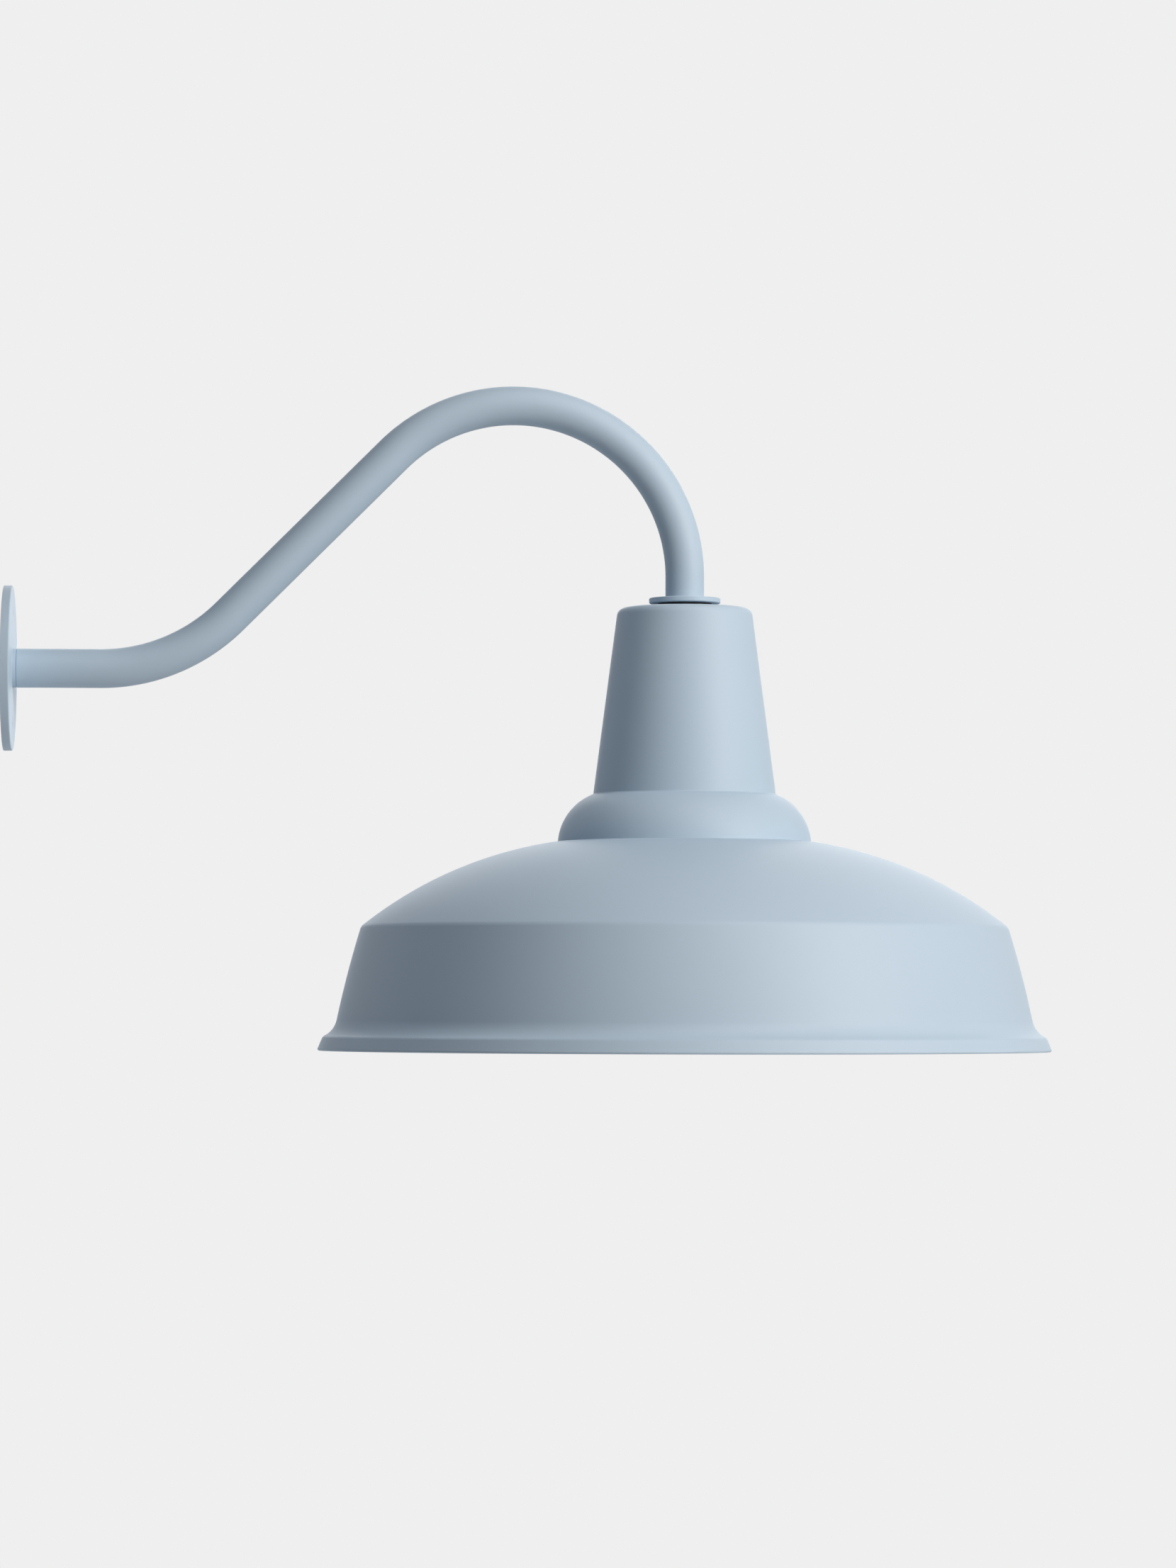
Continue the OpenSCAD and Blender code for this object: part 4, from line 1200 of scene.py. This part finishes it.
# Light strips. Four glass rods set with light diodes under a yellow phosphor coat, with a small
# metal tab at each end. They lean out from the stem towards their ends.

STRIP_COUNT = 4
STRIP_LENGTH = 0.032
STRIP_RADIUS = 0.0009
STRIP_TOP_OUT = 0.005
STRIP_LOW_OUT = 0.0095
STRIP_LIFT = 0.004
TAB = 0.0022
TAB_RADIUS = 0.0005
TAB_SIDES = 12
STRIP_SIDES = 20
STRIP_STEPS = 12
STRIP_TIP = 0.0004
STRIP_TIP_SHARE = 0.6
strip_lean = math.asin((STRIP_LOW_OUT - STRIP_TOP_OUT) / STRIP_LENGTH)
strip_top = stem_low + STRIP_LIFT
strip_low = strip_top - STRIP_LENGTH * math.cos(strip_lean)


def strip_places():
    """For each strip, its direction outwards, and its upper and lower ends."""
    for i in range(STRIP_COUNT):
        bearing = 2 * math.pi * (i + 0.5) / STRIP_COUNT
        outwards = Vector((math.cos(bearing), math.sin(bearing), 0))
        axis = Vector((REACH, 0, 0))
        yield (
            outwards,
            axis + outwards * STRIP_TOP_OUT + Vector((0, 0, strip_top)),
            axis + outwards * STRIP_LOW_OUT + Vector((0, 0, strip_low)),
        )


phosphor = coating(
    "phosphor_coat", (0.88, 0.62, 0.14),
    roughness=0.55, clouds=500, drift=0.08, grains=1800, depth=0.00002
)
relief(phosphor, pattern(phosphor, 900, cells=True), depth=0.00004)
tab_steel = metal("nickel_tab", (0.7, 0.69, 0.66), roughness=0.3)
light_strips = bmesh.new()
for outwards, start, end in strip_places():
    direction = (end - start).normalized()
    up = outwards.cross(direction).normalized()
    body = [TAB / 2 + (STRIP_LENGTH - TAB) * i / STRIP_STEPS for i in range(STRIP_STEPS + 1)]
    lengths = [body[0] - STRIP_TIP] + body + [body[-1] + STRIP_TIP]
    tip_radius = STRIP_RADIUS * STRIP_TIP_SHARE
    radii = [tip_radius] + [STRIP_RADIUS] * len(body) + [tip_radius]
    bar(light_strips, [(start + direction * one, direction, up) for one in lengths], radii, STRIP_SIDES)
    for tab_from in (0, STRIP_LENGTH - TAB):
        tab_stops = [(start + direction * (tab_from + TAB * i), direction, up) for i in range(2)]
        bar(light_strips, tab_stops, [TAB_RADIUS] * 2, TAB_SIDES, finish=1)
fit_piece("light_strips", light_strips, [phosphor, tab_steel], "bulb_strips")


# Stem wires. Thin nickel wires fused into the stem: one runs down its middle and spreads to the
# strips' lower ends, and a short one goes across to each strip's upper end.

WIRE_RADIUS = 0.00035
POST_RADIUS = 0.0005
WIRE_SIDES = 12
WIRE_STEPS = 8
WIRE_GAP = 0.0001
wire_z = strip_low - WIRE_RADIUS - WIRE_GAP


def stops_along(points, up):
    """The stops of a path through points, each with an upper side that doesn't twist."""
    stops = []
    for i, place in enumerate(points):
        ahead = points[min(i + 1, len(points) - 1)]
        direction = (ahead - points[max(i - 1, 0)]).normalized()
        up = (up - direction * up.dot(direction)).normalized()
        stops.append((place, direction, up))
    return stops


wires = bmesh.new()
post_points = [Vector((REACH, 0, stem_low + STEM_RADIUS)), Vector((REACH, 0, wire_z))]
bar(wires, stops_along(post_points, Vector((1, 0, 0))), [POST_RADIUS] * 2, WIRE_SIDES)
for outwards, start, end in strip_places():
    foot = Vector((REACH, 0, wire_z)) + outwards * WIRE_RADIUS
    run = STRIP_LOW_OUT - WIRE_RADIUS
    low_points = [foot + outwards * run * i / WIRE_STEPS for i in range(WIRE_STEPS + 1)]
    low_stops = stops_along(low_points, Vector((0, 0, 1)))
    bar(wires, low_stops, [WIRE_RADIUS] * len(low_stops), WIRE_SIDES)
    inside = Vector((REACH, 0, start.z - TAB / 2)) + outwards * STEM_RADIUS / 2
    top_points = [inside, start - Vector((0, 0, TAB / 2)) + outwards * TAB / 2 * math.sin(strip_lean)]
    top_stops = stops_along(top_points, Vector((0, 0, 1)))
    bar(wires, top_stops, [WIRE_RADIUS] * len(top_stops), WIRE_SIDES)
nickel_wire = metal("nickel_wire", (0.68, 0.67, 0.64), roughness=0.28)
fit_piece("stem_wires", wires, [nickel_wire], "bulb_wires")


# Bulb glass. A clear pear-shaped globe, blown in one piece with its neck, which is cemented to the
# cap's rim.

GLOBE_RADIUS = 0.0335
GLASS = 0.0008
GLASS_HEIGHT = 0.111
GLASS_STEP = 0.0001
GLASS_NECK_RADIUS = CAP_RADIUS - GLASS_STEP
GLASS_GAP = 0.00015
GLOBE_ANGLE = math.radians(40)
glass_top = cap_rim - GLASS_GAP
glass_low = cap_rim - GLASS_HEIGHT
globe_z = glass_low + GLOBE_RADIUS
globe_edge = GLOBE_RADIUS * math.cos(GLOBE_ANGLE)
glass_sweep = (globe_edge - GLASS_NECK_RADIUS) / (1 - math.cos(GLOBE_ANGLE))
sweep_low = Vector((globe_edge, globe_z + GLOBE_RADIUS * math.sin(GLOBE_ANGLE)))
sweep_high = Vector((GLASS_NECK_RADIUS, sweep_low.y + glass_sweep * math.sin(GLOBE_ANGLE)))
globe_side = Vector((GLOBE_RADIUS, globe_z))
glass_outline = (
    [Vector((GLASS_NECK_RADIUS, glass_top))]
    + arc(sweep_high, sweep_low, glass_sweep, steps=20)
    + arc(sweep_low, globe_side, -GLOBE_RADIUS, steps=10)[1:]
    + arc(globe_side, Vector((0, glass_low)), -GLOBE_RADIUS, steps=24)[1:]
)
glass_inside = [Vector((max(point.x, 0), point.y)) for point in moved_right(glass_outline, GLASS)]
globe_glass = clear_glass("blown_globe_glass", (0.98, 0.99, 0.985), waves=40)
globe = bmesh.new()
turn_round(globe, glass_outline + glass_inside[::-1], upright)
fit_piece("blown_globe", globe, [globe_glass], "bulb_glass")
